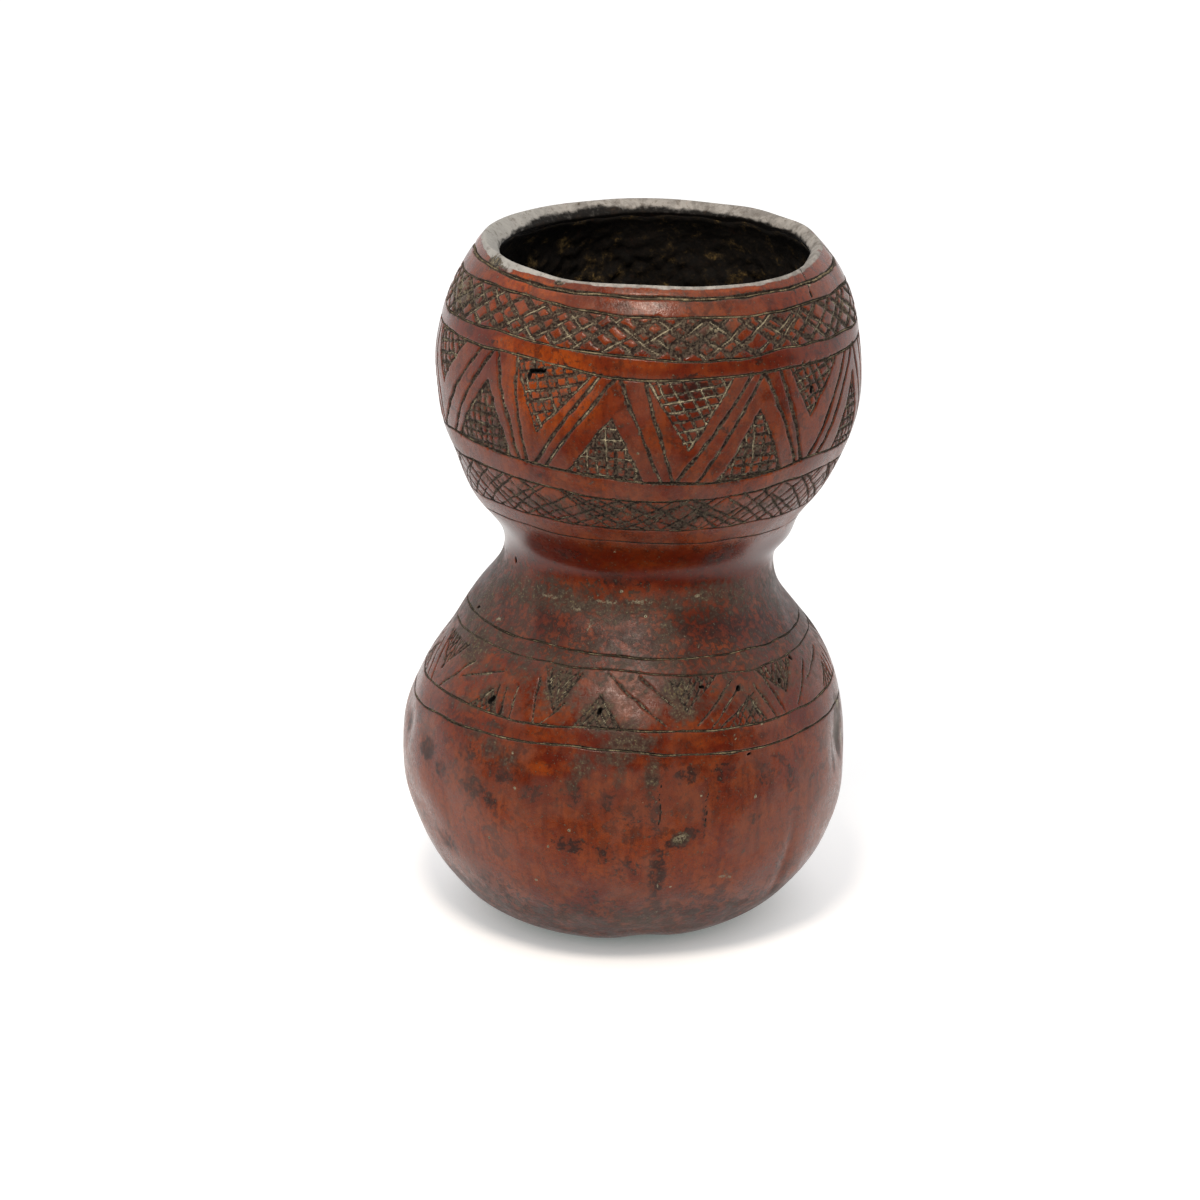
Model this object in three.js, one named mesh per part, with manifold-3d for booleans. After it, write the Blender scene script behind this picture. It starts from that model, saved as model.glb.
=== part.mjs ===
// Gourd jug: a dried bottle gourd with a pinched waist, cut open above its upper bulb. The rind is
// engraved with ring lines that hold a pale filling, with lattices and a zigzag between them, and dried
// pulp lines the inside.
// Millimetres, +Z up. The origin is the middle of the flat that the jug stands on, and -Y is the front.
// Angles are degrees round the jug, with 0 at the front and 90 at the right.
import * as THREE from "three";
import { mergeVertices } from "three/addons/utils/BufferGeometryUtils.js";
import Module from "manifold-3d";

// Outline of the rind, as the girths and the rises between them
const BASE_RADIUS = 23.5; // flat that the jug stands on
const BELLY_RADIUS = 57; // widest girth of the lower bulb
const BASE_TO_BELLY = 43;
const WAIST_RADIUS = 34.4; // narrowest girth
const BELLY_TO_WAIST = 54;
const BULB_RADIUS = 53.2; // widest girth of the upper bulb
const WAIST_TO_BULB = 46.8;
const LIP_RADIUS = 42.7; // outer edge of the cut lip
const BULB_TO_LIP = 31.6;
const LIP_INWARD_DEGREES = 43; // how far the wall leans in at the lip

// Fullness of the outline's curves: the share of a stretch that the handle at one of its ends spans
const BASE_FULLNESS = 0.45;
const BELLY_FULLNESS_BELOW = 0.62;
const BELLY_FULLNESS_ABOVE = 0.58;
const WAIST_FULLNESS_BELOW = 0.26;
const WAIST_FULLNESS_ABOVE = 0.19;
const BULB_FULLNESS_BELOW = 0.58;
const BULB_FULLNESS_ABOVE = 0.5;
const LIP_FULLNESS = 0.25;

// Crooked growth: the girths stand further right the higher they are, and the rings dip to the right and
// to the front
const WAIST_OFFSET = 3.8;
const BULB_OFFSET = 5.6;
const LIP_OFFSET = 7.35;
const DIP_RIGHT_DEGREES = 1.8; // at the upper bulb's girth
const DIP_FRONT_DEGREES = 1.05; // at the upper bulb's girth

// Thickness of the rind and of the pulp
const WALL = 4.8;
const LINING = 1.2;
const LINING_CLEARANCE = 0.3;
const LINING_DROP = 3; // from the lip's edge down to the pulp, along the wall

// Lumps of the pulp: half their height, and the swells that add up to them, as a count round the jug and
// as a length along the wall
const LUMP = 0.8;
const LUMP_SWELLS = [
  [11, 34],
  [-8, 21],
];

// Engraved lines: a knife's V cut, and the filling inside it
const LINE_WIDTH = 1.5;
const LINE_DEPTH = 1;
const FILL_CLEARANCE = 0.2;

// Places of the upper lines, each counted down the wall from the one before, the first from the lip
const LIP_TO_RIM_LINE = 3.6;
const RIM_BORDER = 4.9;
const UPPER_LATTICE_WIDTH = 9.6;
const UPPER_BORDER = 4.5;
const ZIGZAG_WIDTH = 25.8;
const LOWER_BORDER = 6;
const LOWER_LATTICE_WIDTH = 10.5;
const WAIST_BORDER = 5.3;

// Places of the lower lines, each counted up the wall from the one before, the first from the belly's girth
const BELLY_TO_BELLY_LINE = 17.3;
const BELLY_BORDER = 5.9;
const SHOULDER_BAND_WIDTH = 14.1;
const SHOULDER_BORDER = 4;

// Cuts between the ring lines: width and depth of the knife's V below the round wall
const CUT_WIDTH = 1.3;
const CUT_DEPTH = 0.9;

// Rows of crossings in each lattice, between the ring lines that border it
const LATTICE_ROWS = { upper_lattice: 1, lower_lattice: 2 };

// The zigzag's repeats, in degrees from their middles. lines: top and bottom of the four slanting lines.
// down: the hanging triangle's top corners and tip, and its drop. up: the standing one's tip, corners and
// rise.
const ZIGZAG = [
  {
    lines: [[18, -5.5], [23, 2.5], [-18, -8], [-12, -5]],
    down: [-9, 10, -1.5, 12.7],
    up: [22, 6, 29.5, 17.6],
  },
  {
    lines: [[15, -4], [19, -0.5], [-17, -9], [-10.5, -6.5]],
    down: [-7.5, 8, -2.3, 15.7],
    up: [18.5, 6.5, 27, 15.6],
  },
  {
    lines: [[17, -3.5], [20.5, 2.5], [-19, -7], [-12.5, -4]],
    down: [-11.5, 11.5, -1.8, 15.2],
    up: [19.5, 8.5, 28.5, 17.6],
  },
  {
    lines: [[15.5, -0.5], [20, 3.5], [-18.5, -5.5], [-13.5, -3.5]],
    down: [-10, 10, -2, 13],
    up: [20.5, 11, 26, 18.1],
  },
];
const ZIGZAG_MIDDLES = [-70, -28.5, 10.5, 50, 90, 130, 170, 210, 250];

// Fineness of the mesh
const SEGMENTS = 36; // round the jug
const WALL_STEP = 8; // along the wall, between plain points
const LIP_STEPS = 6; // round the lip
const CUT_STEP = 9; // along a cut
const CUT_LIFT = 1; // from the wall up to the top of the blade that makes a cut

const rind = new THREE.MeshStandardMaterial({ color: 0x7d2b16, roughness: 0.35, metalness: 0 });
const pulp = new THREE.MeshStandardMaterial({ color: 0x17120d, roughness: 0.95, metalness: 0 });
const filling = new THREE.MeshStandardMaterial({ color: 0x9c9176, roughness: 0.9, metalness: 0 });

// Heights that the rises add up to
const bellyHeight = BASE_TO_BELLY;
const waistHeight = bellyHeight + BELLY_TO_WAIST;
const bulbHeight = waistHeight + WAIST_TO_BULB;
const lipHeight = bulbHeight + BULB_TO_LIP;

const segmentDegrees = 360 / SEGMENTS;

// The wall's outer curve from the edge of the standing flat up to the lip, as radius and height.
function outerWall() {
  const point = (radius, height) => new THREE.Vector2(radius, height);
  const baseEdge = point(BASE_RADIUS, 0);
  const belly = point(BELLY_RADIUS, bellyHeight);
  const waist = point(WAIST_RADIUS, waistHeight);
  const bulb = point(BULB_RADIUS, bulbHeight);
  const lip = point(LIP_RADIUS, lipHeight);
  const lipAngle = THREE.MathUtils.degToRad(LIP_INWARD_DEGREES);
  const lipHandle = LIP_FULLNESS * BULB_TO_LIP;

  const baseHandle = point(BASE_RADIUS + BASE_FULLNESS * (BELLY_RADIUS - BASE_RADIUS), 0);
  const bellyBelow = point(BELLY_RADIUS, bellyHeight - BELLY_FULLNESS_BELOW * BASE_TO_BELLY);
  const bellyAbove = point(BELLY_RADIUS, bellyHeight + BELLY_FULLNESS_ABOVE * BELLY_TO_WAIST);
  const waistBelow = point(WAIST_RADIUS, waistHeight - WAIST_FULLNESS_BELOW * BELLY_TO_WAIST);
  const waistAbove = point(WAIST_RADIUS, waistHeight + WAIST_FULLNESS_ABOVE * WAIST_TO_BULB);
  const bulbBelow = point(BULB_RADIUS, bulbHeight - BULB_FULLNESS_BELOW * WAIST_TO_BULB);
  const bulbAbove = point(BULB_RADIUS, bulbHeight + BULB_FULLNESS_ABOVE * BULB_TO_LIP);
  const lipBelow = point(
    LIP_RADIUS + lipHandle * Math.sin(lipAngle),
    lipHeight - lipHandle * Math.cos(lipAngle),
  );

  const wall = new THREE.CurvePath();
  wall.add(new THREE.CubicBezierCurve(baseEdge, baseHandle, bellyBelow, belly));
  wall.add(new THREE.CubicBezierCurve(belly, bellyAbove, waistBelow, waist));
  wall.add(new THREE.CubicBezierCurve(waist, waistAbove, bulbBelow, bulb));
  wall.add(new THREE.CubicBezierCurve(bulb, bulbAbove, lipBelow, lip));
  return wall;
}

const wall = outerWall();
const lipDistance = wall.getLength();
const bellyDistance = wall.curves[0].getLength();

// The wall's direction at a distance along it, and the way out of it.
function wallFrame(distance) {
  const along = wall.getTangent(distance / lipDistance);
  const out = new THREE.Vector2(along.y, -along.x);
  return { along, out };
}

// A point at a distance along the wall, at a depth below its outer face.
function wallPoint(distance, depth) {
  const { out } = wallFrame(distance);
  return wall.getPoint(distance / lipDistance).addScaledVector(out, -depth);
}

// The engraved ring lines' names and their distances along the wall, from the base up.
function ringLines() {
  const lines = [];
  let distance = bellyDistance;
  for (const [name, rise] of [
    ["belly_line", BELLY_TO_BELLY_LINE],
    ["shoulder_band_bottom", BELLY_BORDER],
    ["shoulder_band_top", SHOULDER_BAND_WIDTH],
    ["shoulder_line", SHOULDER_BORDER],
  ]) {
    distance += rise;
    lines.push({ name, distance });
  }
  distance = lipDistance;
  for (const [name, drop] of [
    ["rim_line", LIP_TO_RIM_LINE],
    ["upper_lattice_top", RIM_BORDER],
    ["upper_lattice_bottom", UPPER_LATTICE_WIDTH],
    ["zigzag_top", UPPER_BORDER],
    ["zigzag_bottom", ZIGZAG_WIDTH],
    ["lower_lattice_top", LOWER_BORDER],
    ["lower_lattice_bottom", LOWER_LATTICE_WIDTH],
    ["waist_line", WAIST_BORDER],
  ]) {
    distance -= drop;
    lines.push({ name, distance });
  }
  return lines.sort((a, b) => a.distance - b.distance);
}

const lines = ringLines();
const lineDistance = (name) => lines.find((line) => line.name === name).distance;

// The distances of a lattice's rows, from the edge of its lower ring line to that of its upper one.
function latticeDistances(name) {
  const low = lineDistance(`${name}_bottom`) + LINE_WIDTH / 2;
  const high = lineDistance(`${name}_top`) - LINE_WIDTH / 2;
  const rows = LATTICE_ROWS[name];
  return Array.from({ length: rows + 1 }, (_, i) => THREE.MathUtils.lerp(low, high, i / rows));
}

// Evenly spaced distances from the base's edge up to an end, both included.
function evenDistances(end) {
  const count = Math.ceil(end / WALL_STEP);
  return Array.from({ length: count + 1 }, (_, i) => end * (i / count));
}

// The places of the outer face's points from the base's edge up to the lip, with a V notch at each ring
// line and a plain point at each row of a lattice.
function engravedPlaces() {
  const lattices = Object.keys(LATTICE_ROWS).map(latticeDistances);
  const nearLine = (distance) => lines.some((line) => Math.abs(distance - line.distance) < LINE_WIDTH);
  const inLattice = (distance) => lattices.some((rows) => rows.at(0) < distance && distance < rows.at(-1));
  const places = evenDistances(lipDistance)
    .filter((distance) => !nearLine(distance) && !inLattice(distance))
    .map((distance) => ({ distance, depth: 0 }));
  for (const rows of lattices) {
    places.push(...rows.slice(1, -1).map((distance) => ({ distance, depth: 0 })));
  }
  for (const line of lines) {
    places.push({ distance: line.distance - LINE_WIDTH / 2, depth: 0 });
    places.push({ distance: line.distance, depth: LINE_DEPTH });
    places.push({ distance: line.distance + LINE_WIDTH / 2, depth: 0 });
  }
  return places.sort((a, b) => a.distance - b.distance);
}

// The lip's half round, from the outer face over to the inner one, without its two ends.
function lipRound() {
  const { along, out } = wallFrame(lipDistance);
  const middle = wallPoint(lipDistance, WALL / 2);
  const points = [];
  for (let i = 1; i < LIP_STEPS; i += 1) {
    const angle = (Math.PI * i) / LIP_STEPS;
    const point = middle.clone();
    point.addScaledVector(out, (WALL / 2) * Math.cos(angle));
    point.addScaledVector(along, (WALL / 2) * Math.sin(angle));
    points.push(point);
  }
  return points;
}

// A face at one depth, from the axis out to the base's edge and up to where the pulp ends.
function plainFace(depth) {
  const face = evenDistances(lipDistance - LINING_DROP).map((distance) => wallPoint(distance, depth));
  return [new THREE.Vector2(0, depth), ...face];
}

function rindProfile() {
  const standingMiddle = new THREE.Vector2(0, 0);
  const outside = engravedPlaces().map(({ distance, depth }) => wallPoint(distance, depth));
  const inside = [...plainFace(WALL), wallPoint(lipDistance, WALL)].reverse();
  return [standingMiddle, ...outside, ...lipRound(), ...inside];
}

// How far a lump of the pulp stands out at an angle and a distance along the wall.
function lump(angle, distance) {
  let height = 0;
  for (const [count, length] of LUMP_SWELLS) {
    const turn = THREE.MathUtils.degToRad(count * angle) + (2 * Math.PI * distance) / length;
    height += (LUMP / LUMP_SWELLS.length) * Math.sin(turn);
  }
  return height;
}

// The pulp is smooth against the rind and lumpy inside.
function pulpProfile(angle) {
  const depth = WALL + LINING_CLEARANCE;
  const outside = plainFace(depth);
  const inside = evenDistances(lipDistance - LINING_DROP)
    .map((distance) => wallPoint(distance, depth + LINING + lump(angle, distance)))
    .reverse();
  return [...outside, ...inside, new THREE.Vector2(0, depth + LINING)];
}

// The filling's triangle is the notch's own, drawn in until the clearance is left along its two sides.
function fillProfile(distance) {
  const halfWidth = LINE_WIDTH / 2;
  const slant = Math.hypot(halfWidth, LINE_DEPTH);
  const share = 1 - (FILL_CLEARANCE * slant) / (halfWidth * LINE_DEPTH);
  const lower = wallPoint(distance - share * halfWidth, 0);
  const upper = wallPoint(distance + share * halfWidth, 0);
  const tip = wallPoint(distance, share * LINE_DEPTH);
  return [lower, upper, tip, lower];
}

// Leans a point of a round shape the way that the gourd grew. The standing flat stays where it is.
function lean(spot) {
  const dipRight = Math.tan(THREE.MathUtils.degToRad(DIP_RIGHT_DEGREES));
  const dipFront = Math.tan(THREE.MathUtils.degToRad(DIP_FRONT_DEGREES));
  const share = (low, high) => THREE.MathUtils.smoothstep(spot.z, low, high);
  const toWaist = WAIST_OFFSET * share(bellyHeight, waistHeight);
  const toBulb = (BULB_OFFSET - WAIST_OFFSET) * share(waistHeight, bulbHeight);
  const toLip = (LIP_OFFSET - BULB_OFFSET) * share(bulbHeight, lipHeight);
  const dip = (dipRight * spot.x - dipFront * spot.y) * (spot.z / bulbHeight);
  return spot.set(spot.x + toWaist + toBulb + toLip, spot.y, spot.z - dip);
}

// A profile's point, turned to an angle round the jug and leaned.
function turned(point, angle) {
  const turn = THREE.MathUtils.degToRad(angle);
  return lean(new THREE.Vector3(point.x * Math.sin(turn), -point.x * Math.cos(turn), point.y));
}

// A round geometry from a profile that may change with the angle.
function turnedGeometry(profileAt) {
  const count = profileAt(0).length;
  const geometry = new THREE.LatheGeometry(profileAt(0), SEGMENTS);
  const position = geometry.getAttribute("position");
  for (let i = 0; i <= SEGMENTS; i += 1) {
    const angle = (i % SEGMENTS) * segmentDegrees;
    profileAt(angle).forEach((point, j) => {
      const spot = turned(point, angle);
      position.setXYZ(i * count + j, spot.x, spot.y, spot.z);
    });
  }
  return geometry;
}

// A V blade along a cut from one {angle, distance} to another, as a closed mesh: its tip at the cut's depth,
// and its two upper edges above the wall.
function bladeGeometry(start, end) {
  const middleRadius = wallPoint((start.distance + end.distance) / 2, 0).x;
  const degree = THREE.MathUtils.degToRad(middleRadius);
  const run = new THREE.Vector2((end.angle - start.angle) * degree, end.distance - start.distance);
  const steps = Math.ceil(run.length() / CUT_STEP);
  const half = (CUT_WIDTH / 2) * (1 + CUT_LIFT / CUT_DEPTH);
  const aside = new THREE.Vector2(-run.y, run.x).setLength(half);
  const spots = [];
  for (let i = 0; i <= steps; i += 1) {
    const angle = THREE.MathUtils.lerp(start.angle, end.angle, i / steps);
    const distance = THREE.MathUtils.lerp(start.distance, end.distance, i / steps);
    spots.push(turned(wallPoint(distance, CUT_DEPTH), angle));
    for (const side of [1, -1]) {
      const upper = wallPoint(distance + side * aside.y, -CUT_LIFT);
      spots.push(turned(upper, angle + (side * aside.x) / degree));
    }
  }
  const faces = [0, 2, 1];
  for (let i = 0; i < steps; i += 1) {
    for (const [from, to] of [[0, 1], [1, 2], [2, 0]]) {
      const [near, far] = [3 * i, 3 * (i + 1)];
      faces.push(far + to, far + from, near + from, far + to, near + from, near + to);
    }
  }
  faces.push(3 * steps, 3 * steps + 1, 3 * steps + 2);
  return new THREE.BufferGeometry().setFromPoints(spots).setIndex(faces);
}

// The points that two crossing V cuts add to one segment of a lattice's row: the crossing's bottom, then the
// points of the wall below it, to its right, above it and to its left.
function crossing(startAngle, low, high) {
  const angle = startAngle + segmentDegrees / 2;
  const distance = (low + high) / 2;
  const degree = THREE.MathUtils.degToRad(wallPoint(distance, 0).x);
  const halfWidth = (segmentDegrees / 2) * degree;
  const halfHeight = (high - low) / 2;
  const arm = Math.hypot(halfWidth, halfHeight);
  const up = ((CUT_WIDTH / 2) * arm) / halfWidth;
  const across = ((CUT_WIDTH / 2) * arm) / halfHeight / degree;
  return [
    turned(wallPoint(distance, CUT_DEPTH), angle),
    turned(wallPoint(distance - up, 0), angle),
    turned(wallPoint(distance, 0), angle + across),
    turned(wallPoint(distance + up, 0), angle),
    turned(wallPoint(distance, 0), angle - across),
  ];
}

// The lattices' rows of crossings: the profile's point that a row starts from, and the row's two distances.
function crossingRows() {
  const places = engravedPlaces();
  const found = [];
  for (const name of Object.keys(LATTICE_ROWS)) {
    const distances = latticeDistances(name);
    for (let i = 0; i < LATTICE_ROWS[name]; i += 1) {
      const [low, high] = [distances[i], distances[i + 1]];
      const point = 1 + places.findIndex((place) => place.distance === low);
      found.push({ point, low, high });
    }
  }
  return found;
}

// The rind as a round geometry, with crossing cuts in place of the plain faces of the lattices' rows.
function latticedGeometry() {
  const count = rindProfile().length;
  const rows = crossingRows();
  const round = turnedGeometry(rindProfile);
  const position = round.getAttribute("position");
  const spots = Array.from({ length: position.count }, (_, i) => {
    return new THREE.Vector3().fromBufferAttribute(position, i);
  });
  const faces = [];
  const corners = round.getIndex().array;
  for (let i = 0; i < corners.length; i += 3) {
    const face = [...corners.slice(i, i + 3)];
    const lowest = Math.min(...face.map((corner) => corner % count));
    if (!rows.some((row) => row.point === lowest)) {
      faces.push(...face);
    }
  }
  for (const { point, low, high } of rows) {
    for (let i = 0; i < SEGMENTS; i += 1) {
      const first = i * count + point;
      const frame = [first, first + count, first + count + 1, first + 1];
      const bottom = spots.length;
      spots.push(...crossing(i * segmentDegrees, low, high));
      for (let side = 0; side < frame.length; side += 1) {
        const nextSide = (side + 1) % frame.length;
        const [near, far] = [bottom + 1 + side, bottom + 1 + nextSide];
        faces.push(frame[side], frame[nextSide], near);
        faces.push(frame[nextSide], bottom, near);
        faces.push(frame[nextSide], far, bottom);
      }
    }
  }
  return new THREE.BufferGeometry().setFromPoints(spots).setIndex(faces);
}

// The ends of each cut of the zigzag: its slanting lines, and the free sides of its triangles.
function zigzagCuts(bottom, top) {
  const cuts = [];
  ZIGZAG_MIDDLES.forEach((middle, i) => {
    const { lines, down, up } = ZIGZAG[i % ZIGZAG.length];
    const spot = (angle, distance) => ({ angle: middle + angle, distance });
    for (const [above, below] of lines) {
      cuts.push([spot(above, top), spot(below, bottom)]);
    }
    const [leftTop, rightTop, downTip, drop] = down;
    const [upTip, leftFoot, rightFoot, rise] = up;
    for (const corner of [leftTop, rightTop]) {
      cuts.push([spot(corner, top), spot(downTip, top - drop)]);
    }
    for (const corner of [leftFoot, rightFoot]) {
      cuts.push([spot(corner, bottom), spot(upTip, bottom + rise)]);
    }
  });
  return cuts;
}

const wasm = await Module();
wasm.setup();

// A closed geometry as a solid that can be cut.
function solidOf(geometry) {
  const bare = new THREE.BufferGeometry();
  bare.setAttribute("position", geometry.getAttribute("position"));
  bare.setIndex(geometry.getIndex());
  const merged = mergeVertices(bare);
  const vertProperties = merged.getAttribute("position").array;
  const triVerts = Uint32Array.from(merged.getIndex().array);
  return new wasm.Manifold(new wasm.Mesh({ numProp: 3, vertProperties, triVerts }));
}

// A solid as a geometry.
function geometryOf(solid) {
  const { vertProperties, triVerts } = solid.getMesh();
  const geometry = new THREE.BufferGeometry();
  geometry.setAttribute("position", new THREE.BufferAttribute(vertProperties, 3));
  geometry.setIndex(new THREE.BufferAttribute(triVerts, 1));
  geometry.computeVertexNormals();
  return geometry;
}

// The rind with its ring lines and lattices, cut with the zigzag.
function carvedRind() {
  const cuts = zigzagCuts(lineDistance("zigzag_bottom"), lineDistance("zigzag_top"));
  const blades = cuts.map(([start, end]) => solidOf(bladeGeometry(start, end)));
  const carved = blades.reduce((solid, blade) => solid.subtract(blade), solidOf(latticedGeometry()));
  return geometryOf(carved);
}

const jug = new THREE.Group();

function addPiece(name, geometry, material) {
  const piece = new THREE.Mesh(geometry, material);
  piece.name = name;
  jug.add(piece);
}

addPiece("gourd_shell", carvedRind(), rind);
addPiece("pulp_lining", turnedGeometry(pulpProfile), pulp);
for (const line of lines) {
  addPiece(`${line.name}_fill`, turnedGeometry(() => fillProfile(line.distance)), filling);
}

export default jug;
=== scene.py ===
import math
from collections import namedtuple

import bpy
import numpy as np
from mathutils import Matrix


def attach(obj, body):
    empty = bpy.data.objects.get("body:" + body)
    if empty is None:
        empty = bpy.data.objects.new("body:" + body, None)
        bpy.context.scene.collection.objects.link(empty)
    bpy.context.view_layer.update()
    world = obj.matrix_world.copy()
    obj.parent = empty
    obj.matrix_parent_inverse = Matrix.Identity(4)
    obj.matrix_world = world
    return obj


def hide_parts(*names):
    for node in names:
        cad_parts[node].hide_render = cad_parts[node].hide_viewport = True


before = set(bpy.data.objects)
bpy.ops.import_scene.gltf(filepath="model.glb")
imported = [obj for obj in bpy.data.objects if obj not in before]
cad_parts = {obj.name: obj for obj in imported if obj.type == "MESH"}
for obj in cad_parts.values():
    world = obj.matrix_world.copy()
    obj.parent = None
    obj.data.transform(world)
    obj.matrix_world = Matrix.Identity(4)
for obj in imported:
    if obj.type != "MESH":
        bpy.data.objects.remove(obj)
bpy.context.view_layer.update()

# Gourd jug: a polished, engraved rind, the crust of pulp inside it and the pale matter in its ring lines.
# Sizes are in millimetres and become metres in the meshes. Angles are degrees round the jug, with 0 at
# the front (-Y) and 90 at the right (+X). A distance is counted up the outer wall from the standing flat.
METRES = 0.001
SEED = 11

# Outline of the rind, as the girths and the rises between them
BASE_RADIUS = 23.5
BELLY_RADIUS = 57
BASE_TO_BELLY = 43
WAIST_RADIUS = 34.4
BELLY_TO_WAIST = 54
BULB_RADIUS = 53.2
WAIST_TO_BULB = 46.8
LIP_RADIUS = 42.7
BULB_TO_LIP = 31.6
LIP_INWARD_DEGREES = 43

# Fullness of the outline's curves: the share of a stretch that the handle at one of its ends spans
BASE_FULLNESS = 0.45
BELLY_FULLNESS_BELOW = 0.62
BELLY_FULLNESS_ABOVE = 0.58
WAIST_FULLNESS_BELOW = 0.26
WAIST_FULLNESS_ABOVE = 0.19
BULB_FULLNESS_BELOW = 0.58
BULB_FULLNESS_ABOVE = 0.5
LIP_FULLNESS = 0.25
CURVE_POINTS = 400  # of each stretch

# Crooked growth: the girths stand further right the higher they are, and the rings dip to the right and to
# the front
WAIST_OFFSET = 3.8
BULB_OFFSET = 5.6
LIP_OFFSET = 7.35
DIP_RIGHT_DEGREES = 1.8
DIP_FRONT_DEGREES = 1.05

# Uneven growth: slow swells and finer ripples of the wall, each as a length, a height and a number of waves
GROWTH_SWELLS = ((60, 0.35, 9), (17, 0.09, 12))
EVEN_FOOT = 12  # the swells fade out over this height above the standing flat
DENT_STEEPNESS = 2

# Thickness of the rind and of the crust inside it
WALL = 4.8
LIP_WALL = 4.5
LIP_WALL_FROM = 45  # the wall changes to the lip's over this distance
LIP_SKEW = 0.2  # the lip is this share thicker at the left and thinner at the right
LIP_ROUND = 0.8  # how far the cut lip bulges
LIP_BOXINESS = 0.62  # below 1 for a flat cut with rounded edges
LIP_CHIPS = ((14, 0.08, 14),)  # swells of the cut
# How far the rind goes on past the lip's mean place, as the mouth was cut unevenly: (angle, millimetres)
LIP_COURSE = (
    (-90, 0.1), (-70, -0.2), (-50, -0.8), (-30, -1.5), (-7, -0.9), (12, -1.5), (33, -1.25), (46, -0.4),
    (60, 0.6), (75, 1.6), (90, 2.1), (135, 2.6), (180, 2.25), (225, 1.2),
)
LIP_REACH_FROM = 3.2  # only this much of the wall below the lip is stretched
LINING = 1.2
LINING_CLEARANCE = 0.3
LINING_TOP_DROP = 0.45
LINING_EDGE = ((9, 0.25, 14),)  # swells of its top edge
LINING_THINS_FROM = 0.9  # share of its height
LINING_THINNING = 0.9  # share of its thickness that is gone at the top edge

# Lumps of the crust: half their height, and the swells that add up to them, as a count round the jug and as a
# length along the wall. Crumbs lie on them.
LUMP = 0.8
LUMP_SWELLS = ((11, 34), (-8, 21))
CRUMBS = ((4.5, 0.315, 20), (2.2, 0.18, 24))
LEAST_CRUST = 0.35

# Wear of the lip, in shares of its width from the outer edge
LIP_WORN_SPAN = (-0.03, 0.12)  # bare rind starts here
LIP_SOOT_SPAN = (0.62, 1.08)  # soot starts here
LIP_SOOT_AT_BACK = 0.2  # and so much earlier at the back
LIP_SOOT_BACK_SPAN = (0.72, 0.97)  # cosines of the angle from there between which it sets in
LIP_SOOT_AT_LEFT = 0.3  # and at the back left
LIP_SOOT_LEFT_DEGREES = -143
LIP_SOOT_LEFT_SPAN = (0.88, 0.99)
LIP_RAGGEDNESS = ((9, 0.04, 14), (3, 0.04, 14))  # swells of these starts
LIP_PATTERN_DEPTH = 3  # millimetres of them for each radian of the lip's bend
# Width of the worn edge below the lip: (angle, millimetres)
WORN_EDGE = (
    (-90, 0.5), (-76, 0.6), (-68, 1.2), (-62, 2.6), (-56, 2.2), (-50, 1.9), (-45, 1.2), (-40, 0.8),
    (-33, 0.6), (0, 0.4), (30, 0.4), (50, 0.6), (60, 0.4), (90, 0.2), (180, 0.2),
)
WORN_EDGE_PLAY = 0.15
WORN_EDGE_SOFTNESS = 5  # columns
WORN_EDGE_FADE = (-0.25, 0.15)

# Ring lines, up from the belly and then down from the lip. Each has its step along the wall from the one
# before, its width, how full of pale matter it is, how black it is, and how far it strays from a true circle
# where it shows, as (angle, millimetres up).
Ring = namedtuple("Ring", "step width fullness black stray")
RINGS_UP_FROM_BELLY = {
    "belly_line": Ring(17.3, 0.6, 0.48, 0.4, (
        (-50, 0.3), (-30, 1), (-15, 1.5), (0, 1), (10, 0.3), (20, -0.5), (33, -1.5), (50, -1.3), (70, -0.5))),
    "shoulder_band_bottom": Ring(5.9, 0.6, 0.5, 0.4, (
        (-60, 0.1), (-45, -0.4), (-32, -0.6), (-20, 0.1), (-10, 0.6), (20, -0.4), (35, -1), (50, -1.2),
        (65, -0.9))),
    "shoulder_band_top": Ring(14.1, 0.42, 0.2, 0.7, (
        (-60, 1), (-20, 1), (-5, 1.2), (5, 0), (35, -1.5), (50, -1), (70, -0.5))),
    "shoulder_line": Ring(4, 0.52, 0.25, 0.7, (
        (-50, 1.4), (-20, 1.4), (-5, 0.5), (10, 0), (30, -0.3), (55, -0.3))),
}
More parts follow.
